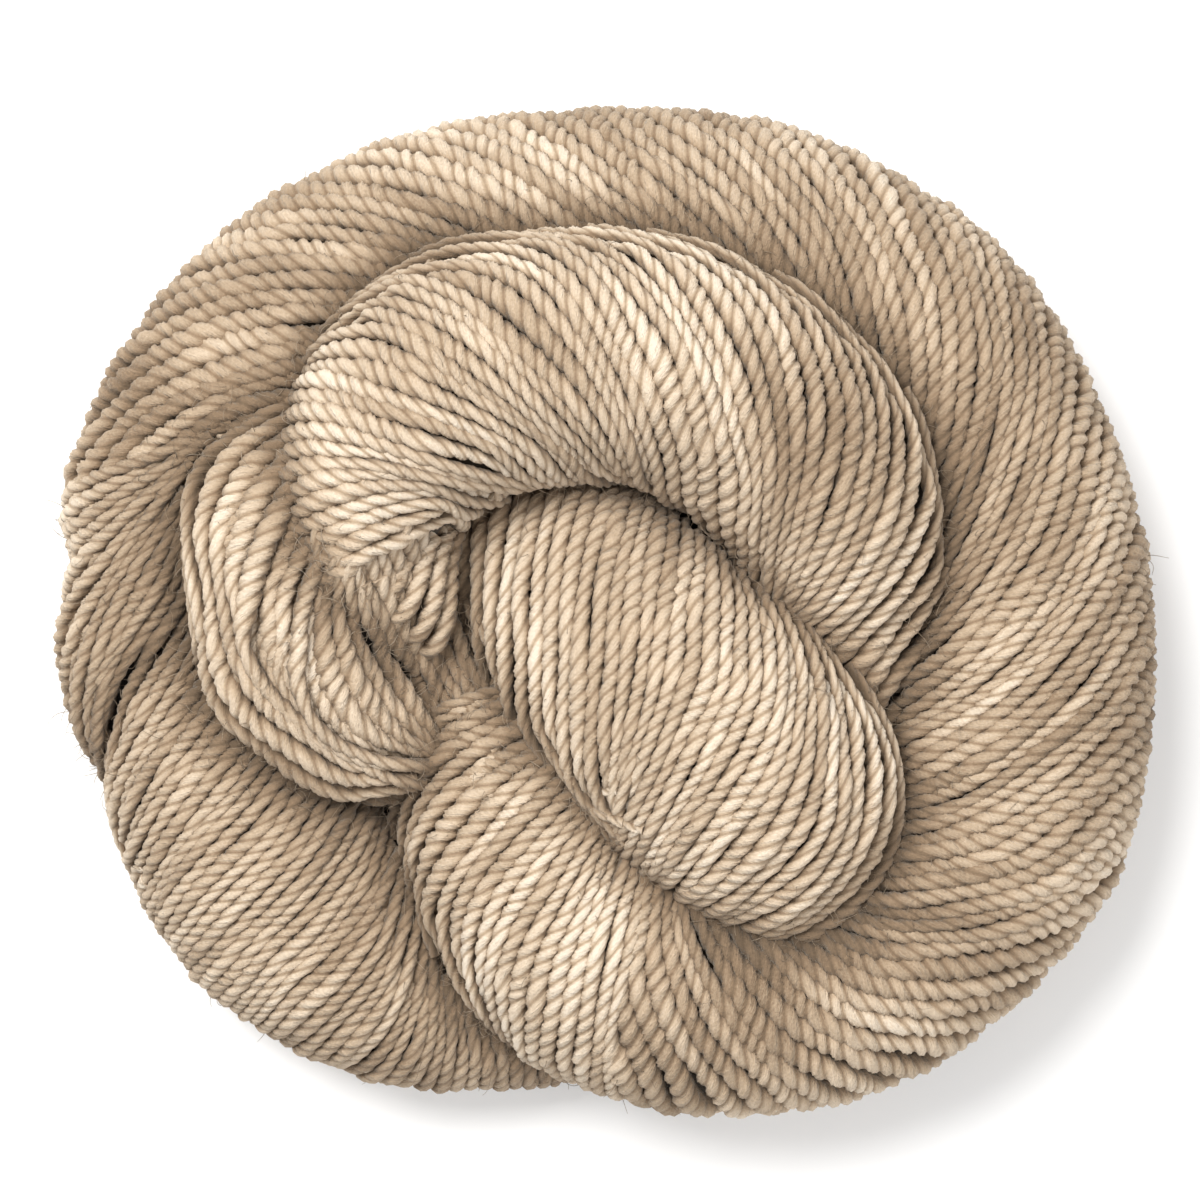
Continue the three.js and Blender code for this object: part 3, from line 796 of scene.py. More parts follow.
             (-35.3, 4, 44), (-36.8, 4.7, 43), (-37.4, 6.4, 41)],
            [(-26.8, 12.8, 42), (-28.9, 10.1, 44), (-29.7, 7.1, 45), (-30.9, 4.1, 45),
             (-33, 2, 44), (-35.1, 1.7, 43), (-36.1, 3.2, 41)],
            [(-24.9, 13.1, 41), (-26.3, 9.8, 43), (-27.2, 6.2, 44), (-28.4, 2.6, 44),
             (-30.4, 0.2, 43), (-32.5, 0.1, 41)],
            [(-23.1, 12.8, 39), (-24.4, 8.9, 41), (-25, 5, 42.5), (-25.9, 0.8, 42.5),
             (-27.7, -2.5, 41), (-29.9, -3.1, 38.5)],
            [(-22, 12.2, 37), (-23, 8.3, 39), (-23.1, 3.8, 40.5), (-23.6, -0.7, 40.5),
             (-25.1, -4.3, 39), (-27.5, -5.5, 36.5)],
            [(-31.1, -0.7, 38), (-28.7, -4.4, 37.5), (-26.3, -8.5, 36), (-24.6, -12.7, 34),
             (-23.7, -16, 32)],
            [(-28.7, -1.4, 36.5), (-26, -5.5, 36), (-23.5, -9.7, 34.5), (-21.9, -13.6, 33)],
            [(-26.4, -1.9, 35.5), (-23.7, -5.5, 35), (-21.3, -9.7, 33.5), (-19.8, -13.9, 32)],
            [(-23.6, 2.3, 36), (-21.6, -3.7, 35.5), (-19.5, -9.7, 33), (-18, -14.5, 31)],
        ],
    },
}
# Outlines on the plan in which a set of strands lies below drawn ones.
CLEARED = {
    "ring_twist": [
        [(-57.2, 28.8), (-60.2, 26.4), (-65.5, 24.3), (-70.8, 22.3), (-76.1, 20.6),
         (-88.2, 17.5), (-88.2, -32.4), (-68.5, -32.4), (-62.5, -21.8), (-62.5, 2.3),
         (-57.2, 14.4)],
        [(7, -34.4), (4.6, -45.9), (2.5, -55.7), (1.3, -60.6), (0.4, -77.1), (-41, -77.1),
         (-41, -27.7), (-30.5, -0.7), (-12.5, -0.7), (-0.5, -26.2)],
    ],
    "front_left": [
        [(-58.6, 10.6), (-59.1, -1.4), (-62.1, -7), (-65.1, -11.8), (-68, -16.1), (-70.8, -20.3),
         (-73.3, -24.8), (-88, -26.3), (-88, 20.4), (-58.6, 20.4)],
    ],
}
# Below the loop, every other line of it comes first.
DRAWN["loop_below"]["lines"][:0] = DRAWN["loop"]["lines"][1:8:2]

# %% [markdown]
# ## From the plan to the bundles
# A drawn line has no height yet. A ray goes down from each of its points to the bundle that
# carries it, and the line takes the height of the place that is hit. At both ends the strand
# goes straight on over the surface, down the flank or in under its neighbours. The small
# curls lie free in the air, so their lines have heights of their own. A simulation of soft
# strands could settle them too, but it wouldn't keep them where they are drawn.

# %% Laying the drawn strands on the bundles
FAN_POINTS = 60
WIDE_SHARE = 75  # percentile of the distances along two lines that sets how many lie between
ABOVE = 100.0  # mm, higher than the nest
SEEK_HEIGHT = 25.0  # mm, from where a point beside the bundle looks for its surface
FREE_GAP = 2.3  # mm, the room that a curl has
LEVELLED = 9  # points over which the height of a drawn strand is smoothed
STOP_HEIGHT = 1.2  # mm above the floor
PLY_STEP = 2.9  # mm along a drawn strand from one ply to the next


def even_line(points, count):
    """Points of the plan spread evenly over a smooth line through the given ones."""
    flat = np.pad(np.asarray(points, float), ((0, 0), (0, 1)))
    return spread_evenly(flat, count)[:, :2]


def fan(lines, spacing):
    """Lines a spacing apart between the given ones."""
    guides = np.array([even_line(line, FAN_POINTS) for line in lines])
    widest = np.percentile(gaps_between(guides), WIDE_SHARE, axis=1)
    edge = np.concatenate([[0], np.cumsum((widest[1:] + widest[:-1]) / 2)])
    count = int(round(edge[-1] / spacing)) + 1
    places = np.interp(np.linspace(0, edge[-1], count), edge, np.arange(len(guides)))
    return rows_at(guides.reshape(len(guides), -1), places).reshape(count, FAN_POINTS, 2)


def go_on(tree, start, ahead, reach):
    """Points that go straight on over a surface, down to the floor at most."""
    made, here, ahead = [], Vector(start), Vector(ahead).normalized()
    for _ in range(int(reach / STRAND_STEP)):
        there = tree.find_nearest(here + ahead * STRAND_STEP)[0]
        if (there - here).length < STRAND_STEP / 5 or there.z < STOP_HEIGHT:
            break
        ahead = (there - here).normalized()
        made.append(tuple(there))
        here = there
    return made


def settle(tree, line, gap, before, after):
    """A line of the plan laid on a surface, going on over it at both its ends."""
    points, missed = [], []
    for x, y in line - PLAN_CENTRE:
        hit = tree.ray_cast(Vector((x, y, ABOVE)), Vector((0, 0, -1)))[0]
        points.append(tuple(hit or tree.find_nearest(Vector((x, y, SEEK_HEIGHT)))[0]))
        missed.append(hit is None)
    # The end of a line may lie beside its bundle. A short end is cut off, a long one stays.
    beyond = missed[::-1].index(False) if False in missed else len(missed)
    if beyond > len(missed) // 4:
        after = 0
    elif beyond:
        points, gap = points[:-beyond], gap[:-beyond]
    points = np.array(points)
    heights = smoothed(points[None, :, 2], LEVELLED)[0]
    points = [(x, y, height) for (x, y, _), height in zip(points, heights)]
    ahead = np.array(points[-1]) - np.array(points[-3])
    back = np.array(points[0]) - np.array(points[2])
    start = go_on(tree, points[0], back, before)[::-1]
    end = go_on(tree, points[-1], ahead, after)
    points = np.array(start + points + end)
    outward = np.array([tuple(tree.find_nearest(Vector(point))[1]) for point in points])
    gap = np.concatenate([[gap[0]] * len(start), gap, [gap[-1]] * len(end)])
    return np.concatenate([points, outward, gap[:, None]], axis=1)


def draw_strands(name, drawing):
    """Drawn strands in the same form as the others."""
    lines, over, seed = drawing["lines"], drawing["over"], drawing["seed"]
    if not over:
        free = [np.array(line, float) - [*PLAN_CENTRE, 0] for line in lines]
        loose = [spread_evenly(line, FAN_POINTS) for line in free]
        upright = np.tile([0, 0, 1, FREE_GAP], (FAN_POINTS, 1))
        settled = [np.concatenate([line, upright], axis=1) for line in loose]
        return strand_set(name, over, settled, seed, PLY_STEP, wander=0.05, ride=0.1, bunch=0)
    if "spacing" in drawing:
        lines = fan(lines, drawing["spacing"])
    else:
        lines = np.array([even_line(line, FAN_POINTS) for line in lines])
    tree = search_tree(over)
    settled = [
        settle(tree, line, gap, *drawing["goes_on"])
        for line, gap in zip(lines, gaps_between(lines))
    ]
    rise = drawing.get("rise", 0.0)
    return strand_set(
        name, over, settled, seed, PLY_STEP, wander=0.05, ride=0.22, bunch=0.15, rise=rise
    )


laid.extend(draw_strands(name, drawing) for name, drawing in DRAWN.items())
print("drawn strands:", {one["name"]: one["points"].shape[:2] for one in laid[-len(DRAWN):]})

# %% [markdown]
# ## Which strands show
# A point is hidden when it lies deep inside another bundle, or when every ray from it ends
# in the nest. Strands also give way where others are drawn over them: they sink a little,
# and are left out where they face up. What is left is cut into runs, each a little longer
# than what shows, so that a run ends out of sight under its neighbours. The camera could
# tell what shows too, but only from one side, and the nest is looked at from all of them.

# %% Runs of yarn that show
GOLDEN = (math.sqrt(5) - 1) / 2
RAYS = 28
GRAZING = 0.1  # rays flatter than this against the surface aren't followed
TEST_EVERY = 3  # laid-out points that one test stands for
TUCK = 10  # laid-out steps that a run goes on after it is hidden
SHORTEST = 9  # laid-out steps in the shortest run that is kept
FAR = 9.0  # mm from another bundle, as good as in the open
DRAWN_OVER = ("front_left_twist", "arch_twist", "middle_twist")
CORE_INSET = {"ring": 2.6, "front_left": 2.6, "arch": 2.6, "middle": 2.6, "loop_end": 5.2}
HIDDEN = [CORE_INSET[name] - 0.6 for name in tube_trees]  # mm inside, just short of the core
SINK = 1.5  # mm that strands lie deeper where drawn ones lie over them
SINK_EVERY = 5  # laid-out points that one test of the outlines stands for
SINK_WIDTH = 15  # laid-out points over which the sinking is smoothed
UPPER_SIDE = 0.97  # how far up the surface faces on the upper side of the ring
ABOVE_FLANK = 0.2  # how far up it faces above the flank of a bundle with drawn strands


def ray_directions(count):
    """Directions spread evenly over a sphere."""
    index = np.arange(count) + 0.5
    height = 1 - 2 * index / count
    turn = index * 2 * math.pi * GOLDEN
    flat = np.sqrt(1 - height**2)
    return np.stack([flat * np.cos(turn), flat * np.sin(turn), height], axis=1)


SKY = ray_directions(RAYS)


def depth_inside(point, tree):
    """How far a point lies inside a closed surface, negative outside it."""
    where, normal, _, distance = tree.find_nearest(point)
    inside = (Vector(point) - where).dot(normal) < 0
    return distance if inside else -distance


def light_reaches(skin, outward, tree):
    """Whether any ray into the open half space leaves the nest."""
    start = Vector(skin)
    for ray in SKY:
        if ray @ outward > GRAZING and tree.ray_cast(start, Vector(ray))[0] is None:
            return True
    return False


def within(point, outlines):
    """Whether a point of the plan lies within any of the outlines."""
    for outline in outlines:
        inside = False
        for (x, y), (next_x, next_y) in zip(outline, outline[1:] + outline[:1]):
            if (y > point[1]) != (next_y > point[1]):
                if point[0] < x + (point[1] - y) * (next_x - x) / (next_y - y):
                    inside = not inside
        if inside:
            return True
    return False


def shown_mask(one):
    """For each laid-out point, whether it shows, and how near another bundle is."""
    beside = [index for index, name in enumerate(tube_trees) if name not in one["over"]]
    outlines = CLEARED.get(one["name"], [])
    drawn_over = one["name"] in DRAWN_OVER
    top = ABOVE_FLANK if drawn_over else UPPER_SIDE
    count, length = one["radius"].shape
    shown = np.zeros((count, length), bool)
    crease = np.full((count, length), FAR)
    for strand in range(count):
        points = one["points"][strand]
        outward = one["outward"][strand]
        skin = one["skin"][strand]
        for index in range(0, length, TEST_EVERY):
            stretch = slice(index, index + TEST_EVERY)
            place = points[index][:2] + PLAN_CENTRE
            if outward[index][2] > top and (drawn_over or within(place, outlines)):
                continue
            depths = [depth_inside(points[index], tree) for tree in tube_trees.values()]
            crease[strand, stretch] = max(-sorted(depths)[-2], 0)
            if one["over"] and any(depths[other] > HIDDEN[other] for other in beside):
                continue
            if len(one["over"]) > 1 or light_reaches(skin[index], outward[index], whole_tree):
                shown[strand, stretch] = True
    return shown, crease


def runs_of(mask):
    """Starts and stops of the stretches where the mask holds, each grown by the tuck."""
    grown = np.convolve(mask, np.ones(2 * TUCK + 1), "same") > 0
    edges = np.diff(np.concatenate([[0], grown.astype(int), [0]]))
    pairs = zip(np.flatnonzero(edges == 1), np.flatnonzero(edges == -1))
    return [(start, stop) for start, stop in pairs if stop - start >= SHORTEST]


def sink(one, outlines):
    """Lays the strands deeper inside the outlines, where drawn ones lie over them."""
    plan = one["points"][..., :2] + PLAN_CENTRE
    inside = np.array([
        [within(point, outlines) for point in strand[::SINK_EVERY]] for strand in plan
    ])
    inside = np.repeat(inside, SINK_EVERY, axis=1)[:, :plan.shape[1]].astype(float)
    depth = smoothed(inside, SINK_WIDTH) * SINK
    one["points"] -= one["outward"] * depth[..., None]


for one in laid:
    if one["name"] in DRAWN_OVER:
        one["points"] -= one["outward"] * SINK
    elif one["name"] in CLEARED:
        sink(one, CLEARED[one["name"]])
masks = [shown_mask(one) for one in laid]
metres = {}
for one, (shown, crease) in zip(laid, masks):
    lengths = np.linalg.norm(np.diff(one["points"], axis=1), axis=-1)
    metres[one["name"]] = round(float(lengths[shown[:, 1:]].sum()) * MM, 2)
print("metres of yarn that show:", metres)

# %% [markdown]
# ## Wrapping nodes for the trees
# Geometry Nodes and materials are graphs of nodes. Placing each node by hand hides the
# idea behind the graph, so a small wrapper lets numbers be written as plain expressions, and
# one method makes any other kind of node from its settings and the values of its sockets.

# %% A small wrapper for node trees
class Number:
    """A number on its way through a node tree; an expression on it adds Math nodes."""

    def __init__(self, graph, socket):
        self.graph = graph
        self.socket = socket

    def math(self, operation, *operands):
        sockets = dict(enumerate(operands))
        made = self.graph.node("ShaderNodeMath", {"operation": operation}, sockets)
        return Number(self.graph, made.outputs[0])

    def __add__(self, other):
        return self.math("ADD", self, other)

    def __sub__(self, other):
        return self.math("SUBTRACT", self, other)

    def __rsub__(self, other):
        return self.math("SUBTRACT", other, self)

    def __mul__(self, other):
        return self.math("MULTIPLY", self, other)

    def __truediv__(self, other):
        return self.math("DIVIDE", self, other)

    def __pow__(self, other):
        return self.math("POWER", self, other)

    def size(self):
        return self.math("ABSOLUTE", self)

    def cosine(self):
        return self.math("COSINE", self)

    def clamp(self):
        made = self.graph.node("ShaderNodeClamp", {}, {"Value": self})
        return Number(self.graph, made.outputs[0])

    def spread(self, least, most=1.0):
        """The range from 0 to 1 moved to the one from the least to the most."""
        return self * (most - least) + least


class Graph:
    """A node tree that nodes are added to."""

    def __init__(self, tree):
        self.tree = tree

    def feed(self, socket, value):
        if isinstance(value, Number):
            value = value.socket
        if isinstance(value, bpy.types.NodeSocket):
            self.tree.links.new(value, socket)
        else:
            socket.default_value = value

    def node(self, kind, settings=None, sockets=None):
        made = self.tree.nodes.new(kind)
        for name, value in (settings or {}).items():
            if name == "stops":
                set_stops(made.color_ramp, value)
            else:
                setattr(made, name, value)
        for name, value in (sockets or {}).items():
            self.feed(made.inputs[name], value)
        return made

    def number(self, kind, settings=None, sockets=None, output=0):
        return Number(self, self.node(kind, settings, sockets).outputs[output])

    def attribute(self, label, data_type="FLOAT"):
        """A named attribute of a geometry."""
        settings = {"data_type": data_type}
        made = self.node("GeometryNodeInputNamedAttribute", settings, {"Name": label})
        return made.outputs["Attribute"]

    def store(self, geometry, label, value, data_type="FLOAT"):
        """The geometry with a value stored at its points as a named attribute."""
        settings = {"data_type": data_type, "domain": "POINT"}
        sockets = {"Geometry": geometry, "Name": label, "Value": value}
        made = self.node("GeometryNodeStoreNamedAttribute", settings, sockets)
        return made.outputs["Geometry"]


def set_stops(ramp, stops):
    """Gives a colour ramp its stops, as pairs of position and colour."""
    while len(ramp.elements) < len(stops):
        ramp.elements.new(1.0)
    for element, (position, colour) in zip(ramp.elements, stops):
        element.position = position
        element.color = colour


def new_group(name, inputs):
    """A Geometry Nodes tree with a geometry in and out and named inputs for its sizes."""
    tree = bpy.data.node_groups.new(name, "GeometryNodeTree")
    for way in ("OUTPUT", "INPUT"):
        tree.interface.new_socket("Geometry", in_out=way, socket_type="NodeSocketGeometry")
    for label, kind in inputs.items():
        tree.interface.new_socket(label, in_out="INPUT", socket_type=kind)
    graph = Graph(tree)
    start = graph.node("NodeGroupInput")
    finish = graph.node("NodeGroupOutput")
    return graph, start, finish


def add_object(name, data):
    """A new object in the scene that shows the data."""
    made = bpy.data.objects.new(name, data)
    bpy.context.scene.collection.objects.link(made)
    return made


def bake(host, tree, values, name):
    """Runs a tree on a mesh object with the given inputs and keeps the result as a plain mesh."""
    modifier = host.modifiers.new("build", "NODES")
    modifier.node_group = tree
    identifiers = {
        item.name: item.identifier
        for item in tree.interface.items_tree
        if item.item_type == "SOCKET" and item.in_out == "INPUT"
    }
    for label, value in values.items():
        modifier[identifiers[label]] = value
    depsgraph = bpy.context.evaluated_depsgraph_get()
    mesh = bpy.data.meshes.new_from_object(host.evaluated_get(depsgraph), depsgraph=depsgraph)
    mesh.name = name
    host.modifiers.remove(modifier)
    return add_object(name, mesh)


# %% [markdown]
# ## The wool
# The yarn is wool that took up its dye unevenly: cream to taupe, changing slowly along each
# strand and in patches through the whole hank. It is matt, with a soft halo of fine
# fibres, so the shader has a sheen and hardly any gloss. The colour could be painted, but
# wool has no drawing on it: a tone value that travels with each strand, a little noise for
# single fibres, and a bump along the plies give every strand its own look from any side.
# Shade is painted into the colour as well: in the valleys between the plies, on the low
# flanks of each strand and in the creases between bundles.

# %% Wool material
PALE = (0.770, 0.660, 0.530, 1)
CREAM = (0.670, 0.545, 0.410, 1)
SAND = (0.490, 0.372, 0.258, 1)
TAUPE = (0.262, 0.180, 0.112, 1)
# Place on the ramp, colour, and how much of its light is left; the lowest stop keeps 0.3 of it,
# painted shade for the darkest flanks and creases.
TONE_STOPS = [
    (0.0, TAUPE, 0.3), (0.28, TAUPE, 1), (0.6, SAND, 1), (0.86, CREAM, 1), (1.0, PALE, 1),
]
STREAKS_ROUND = 5.0  # noise cells over the radius of a strand
STREAKS_ALONG = 0.9  # noise cells to a millimetre of its length
FIBRE_GRAIN = 2200.0  # noise cells to a metre
STREAK_TONE = 0.35
FIBRE_TONE = 0.42
STREAK_BUMP = 0.6
FIBRE_BUMP = 0.4
FULL_BULGE = 0.5  # bulge of a ply from which it has all its painted light
PLY_PAINTED_LIGHT = (0.55, 1.03)  # painted shade in the valley between two plies, and a little painted highlight on top of one
OPEN_FROM = 0.15  # radii above the middle of a strand where the painted shade on its flank begins to lift
OPEN_OVER = 0.7  # radii over which it does
# light that the painted shade leaves low on the flank of a strand
FLANK_PAINTED_LIGHT = 0.3
CREASE_WIDTH = 0.0065  # metres from another bundle within which painted shade darkens the yarn
CREASE_CURVE = 0.8  # power of the distance that the painted shade follows
# light that the painted shade leaves deep in a crease between bundles
CREASE_PAINTED_LIGHT = 0.26
WOOL_SHADER = {
    "Roughness": 0.92,
    "Specular IOR Level": 0.25,
    "Sheen Weight": 0.25,
    "Sheen Roughness": 0.45,
    "Sheen Tint": (1.0, 0.93, 0.82, 1),
}


def scaled(colour, factor):
    return tuple(channel * factor for channel in colour[:3]) + (1,)


def wool_material(name, painted_shade_factor=1.0):
    """Wool whose tone, streaks and painted shade come from the values that the yarn carries."""
    material = bpy.data.materials.new(name)
    material.use_nodes = True
    graph = Graph(material.node_tree)
    shader = material.node_tree.nodes["Principled BSDF"]
    tone, along, crest, near = (
        graph.number("ShaderNodeAttribute", {"attribute_name": label}, output="Fac")
        for label in ("tone", "along", "open", "crease")
    )
    ply = graph.node("ShaderNodeAttribute", {"attribute_name": "ply"}).outputs["Vector"]
    place = graph.node("ShaderNodeTexCoord").outputs["Object"]
    parts = graph.node("ShaderNodeSeparateXYZ", {}, {"Vector": ply})
    streak_place = graph.node("ShaderNodeCombineXYZ", {}, {
        "X": Number(graph, parts.outputs["X"]) * STREAKS_ROUND,
        "Y": Number(graph, parts.outputs["Y"]) * STREAKS_ROUND,
        "Z": along * STREAKS_ALONG,
    }).outputs["Vector"]
    streaks = graph.number("ShaderNodeTexNoise", {}, {
        "Vector": streak_place, "Scale": 1.0, "Detail": 3.0, "Roughness": 0.6})
    fluff = graph.number("ShaderNodeTexNoise", {}, {
        "Vector": place, "Scale": FIBRE_GRAIN, "Detail": 3.0, "Roughness": 0.65})
    # Painted shade in the valleys between plies, with a little painted highlight on their tops
    bulge = (Number(graph, parts.outputs["Z"]) / FULL_BULGE).clamp().spread(*PLY_PAINTED_LIGHT)
    # Painted shade on the low flanks of a strand, between it and its neighbours
    painted_flank_shade = ((crest - OPEN_FROM) / OPEN_OVER).clamp().spread(FLANK_PAINTED_LIGHT)
    # Painted shade in the creases, from the distance to another bundle
    painted_crease_shade = ((near / CREASE_WIDTH).clamp() ** CREASE_CURVE).spread(CREASE_PAINTED_LIGHT)
    grain = tone + (streaks - 0.5) * STREAK_TONE + (fluff - 0.5) * FIBRE_TONE
    # The tone, darkened by the painted shade, picks the colour from the ramp
    tone_in_painted_shade = (grain * (bulge * painted_flank_shade * painted_crease_shade)).clamp()
    stops = [(at, scaled(colour, light * painted_shade_factor)) for at, colour, light in TONE_STOPS]
    ramp = graph.node("ShaderNodeValToRGB", {"stops": stops}, {"Fac": tone_in_painted_shade})
    height = streaks * STREAK_BUMP + fluff * FIBRE_BUMP
    bump = graph.node("ShaderNodeBump", {}, {
        "Strength": 0.8, "Distance": 0.0008, "Height": height}).outputs["Normal"]
    graph.feed(shader.inputs["Base Color"], ramp.outputs["Color"])
    graph.feed(shader.inputs["Normal"], bump)
    for label, value in WOOL_SHADER.items():
        shader.inputs[label].default_value = value
    return material


wool = wool_material("wool")
# The wool of the core is darkened as painted shade, for the yarn below that lies in shadow
painted_shade_wool = wool_material("wool_below_painted_shade", painted_shade_factor=0.45)
print("materials:", [material.name for material in bpy.data.materials])

# %% [markdown]
# ## Spinning the yarn
# Three plies twisted round each other have a section like a clover leaf, and the section
# turns as it travels along the strand. A Geometry Nodes tree makes that from bare paths: the
# paths become curves, the tilt comes from the turn that is stored at each point, and Curve
# to Mesh sweeps the leaf along them with the strand's own thickness. Three separate helical
# plies would need many more faces for the same look.

# %% Tree that sweeps a three-ply section along the strands
def spun_yarn_tree():
    """A tree that turns paths into yarn."""
    inputs = {
        "Points round": "NodeSocketInt",
        "Plies": "NodeSocketFloat",
        "Valley radius": "NodeSocketFloat",
        "Material": "NodeSocketMaterial",
    }
    graph, start, finish = new_group("spun_yarn", inputs)
    curves = graph.node("GeometryNodeMeshToCurve", {}, {"Mesh": start.outputs["Geometry"]})
    thick = graph.attribute("thick")
    tilted = graph.node("GeometryNodeSetCurveTilt", {}, {
        "Curve": curves.outputs["Curve"], "Tilt": graph.attribute("turn")})
    circle = graph.node("GeometryNodeCurvePrimitiveCircle", {}, {
        "Resolution": start.outputs["Points round"], "Radius": 1.0})
    place = graph.node("GeometryNodeInputPosition").outputs["Position"]
    parts = graph.node("ShaderNodeSeparateXYZ", {}, {"Vector": place})
    cosine = Number(graph, parts.outputs["X"])
    sine = Number(graph, parts.outputs["Y"])
    plies = Number(graph, start.outputs["Plies"])
    valley = Number(graph, start.outputs["Valley radius"])
    bulge = (sine.math("ARCTAN2", sine, cosine) * plies * 0.5).cosine().size()
    reach = bulge * (1 - valley) + valley
    lobed = graph.node("ShaderNodeCombineXYZ", {}, {"X": cosine * reach, "Y": sine * reach})
    # The bulge kept in "ply" sets the painted shade in the valleys between plies
    label = graph.node("ShaderNodeCombineXYZ", {}, {"X": cosine, "Y": sine, "Z": bulge})
    marked = graph.store(circle.outputs["Curve"], "ply", label.outputs["Vector"], "FLOAT_VECTOR")
    shaped = graph.node("GeometryNodeSetPosition", {}, {
        "Geometry": marked, "Position": lobed.outputs["Vector"]})
    swept = graph.node("GeometryNodeCurveToMesh", {}, {
        "Curve": tilted.outputs["Curve"], "Profile Curve": shaped.outputs["Geometry"],
        "Scale": thick, "Fill Caps": True})
    arm = graph.node("ShaderNodeVectorMath", {"operation": "SUBTRACT"}, {
        0: place, 1: graph.attribute("centre", "FLOAT_VECTOR")})
    height = graph.number("ShaderNodeVectorMath", {"operation": "DOT_PRODUCT"}, {
        0: arm.outputs["Vector"], 1: graph.attribute("outward", "FLOAT_VECTOR")}, output="Value")
    # The height over the middle of the strand, kept as "open", sets the painted shade on its flanks
    measured = graph.store(swept.outputs["Mesh"], "open", height / Number(graph, thick))
    smooth = graph.node("GeometryNodeSetShadeSmooth", {}, {"Geometry": measured})
    whole = graph.node("GeometryNodeRealizeInstances", {}, {"Geometry": smooth.outputs["Geometry"]})
    dressed = graph.node("GeometryNodeSetMaterial", {}, {
        "Geometry": whole.outputs["Geometry"], "Material": start.outputs["Material"]})
    graph.feed(finish.inputs["Geometry"], dressed.outputs["Geometry"])
    return graph.tree


yarn_tree = spun_yarn_tree()
print("nodes in the yarn tree:", len(yarn_tree.nodes))

# %% [markdown]
# ## Cutting the runs into even steps
# The sweep needs points at even distances, close enough that the plies twist smoothly. Each
# run is resampled, and carries its thickness, the turn of its plies, its length so far
# and its tone. The tone is smooth noise in space, as a dye bath gives, plus a slower change
# along each strand, because neighbouring strands lay apart in the bath, plus patches on the
# plan, some of which are painted light and shade.

# %% Resampled runs with their attributes
PLIES = 3
SWEEP_STEP = 0.72  # mm between two swept sections
SWERVE = 0.3  # radians by which the twist runs ahead or lags behind
SWERVE_WAVES = (7, 25)  # mm
SLUB = 0.03  # unevenness of the thickness from section to section
STREAK_SHIFT = 100  # mm by which the streaks of a strand are moved from its neighbour's
MIDDLE_TONE = 0.715
PATCH_TONE = 0.12  # change through the whole hank
STRAND_TONE = 0.075  # change along a strand
STRAND_WAVES = (20, 100)  # mm
OWN_TONE = 0.045  # change from strand to strand

# Patches that raise or lower the tone: x, y and reach on the plan, and the change of tone.
# The small dark patches at (43, -7) and (-66, 26) are painted shade in creases, and the
# lighter ones on top of the arch and at the lower end of the middle arm are painted light.
# The others make wide stretches of yarn darker or lighter.
PAINTED_LIGHT_AND_TONE = {
    "ring_twist": [
        (34, 57, 28, -0.17), (60, 13, 38, -0.22), (45, -35, 36, -0.20), (22, -61, 32, -0.16),
        (-61, 45, 32, -0.18), (-66, 26, 14, -0.14), (43, -7, 9, -0.25),
    ],
    "flap": [(-75, 0, 40, -0.05), (-66, 26, 14, -0.12)],
    "front_left": [(-50, -35, 50, -0.20)],
    "arch": [(-10, 42, 42, 0.11), (28, 20, 22, -0.04)],
    "nook": [(-30, 0, 30, -0.12)],
    "middle": [(26, -34, 25, 0.30), (-8, 5, 30, 0.04)],
    "loop": [(-48, 0, 40, 0.15)],
    "lobe": [(-16, -50, 25, 0.10)],
}


def dye_waves(count, seed):
    """Plane waves through the whole hank, each with its direction, length and phase."""
    rng = np.random.default_rng(seed)
    waves = []
    for _ in range(count):
        direction = unit(rng.normal(size=3)) * 2 * math.pi
        waves.append((direction / rng.uniform(22, 80), rng.uniform(0, 6.28)))
    return waves


DYE_WAVES = dye_waves(9, seed=7)


def tone_and_painted_light(rng, name, points, along):
    """Tone of the wool at points along one strand, with painted light and shade from the patches,
    mostly between 0 and 1.
    """
    total = np.zeros(len(points))
    for direction, phase in DYE_WAVES:
        total += np.sin(points @ direction + phase)
    patches = total / math.sqrt(len(DYE_WAVES) / 2) * PATCH_TONE
    for x, y, reach, change in PAINTED_LIGHT_AND_TONE.get(name, []):
        away = (points[:, 0] - x) ** 2 + (points[:, 1] - y) ** 2
        patches += change * np.exp(-away / reach**2)
    strand = smooth_noise(rng, 1, along, *STRAND_WAVES)[0]
    return MIDDLE_TONE + patches + STRAND_TONE * strand + OWN_TONE * rng.normal()


def cut_runs(one, shown, crease, seed):
    """Every run of a set of strands as a dict of evenly spaced points and their values."""
    rng = np.random.default_rng(seed)
    made = []
    for strand, points in enumerate(one["points"]):
        phase = rng.uniform(0, 2 * math.pi)
        along = run_along(points)
        swerve = smooth_noise(rng, 1, along, *SWERVE_WAVES)[0] * SWERVE
        values = {
            "points": points,
            "outward": one["outward"][strand],
            "thick": one["radius"][strand],
            "turn": along / one["ply_step"] * 2 * math.pi / PLIES + phase + swerve,
            "tone": tone_and_painted_light(rng, one["name"], points, along),
            "crease": crease[strand],
        }
        for start, stop in runs_of(shown[strand]):
            places = along[start:stop]
            count = max(int((places[-1] - places[0]) / SWEEP_STEP), 3)
            even = np.linspace(places[0], places[-1], count)
            run = {
                label: read_at(even, places, column[start:stop])
                for label, column in values.items()
            }
            run["thick"] *= 1 + SLUB * rng.normal(size=count)
            run["along"] = even + STREAK_SHIFT * strand
            made.append(run)
    return made


FIRST_SEED = 100
all_runs = {
    one["name"]: cut_runs(one, *mask, seed)
    for seed, (one, mask) in enumerate(zip(laid, masks), start=FIRST_SEED)
}
print("runs:", {name: len(runs) for name, runs in all_runs.items()})

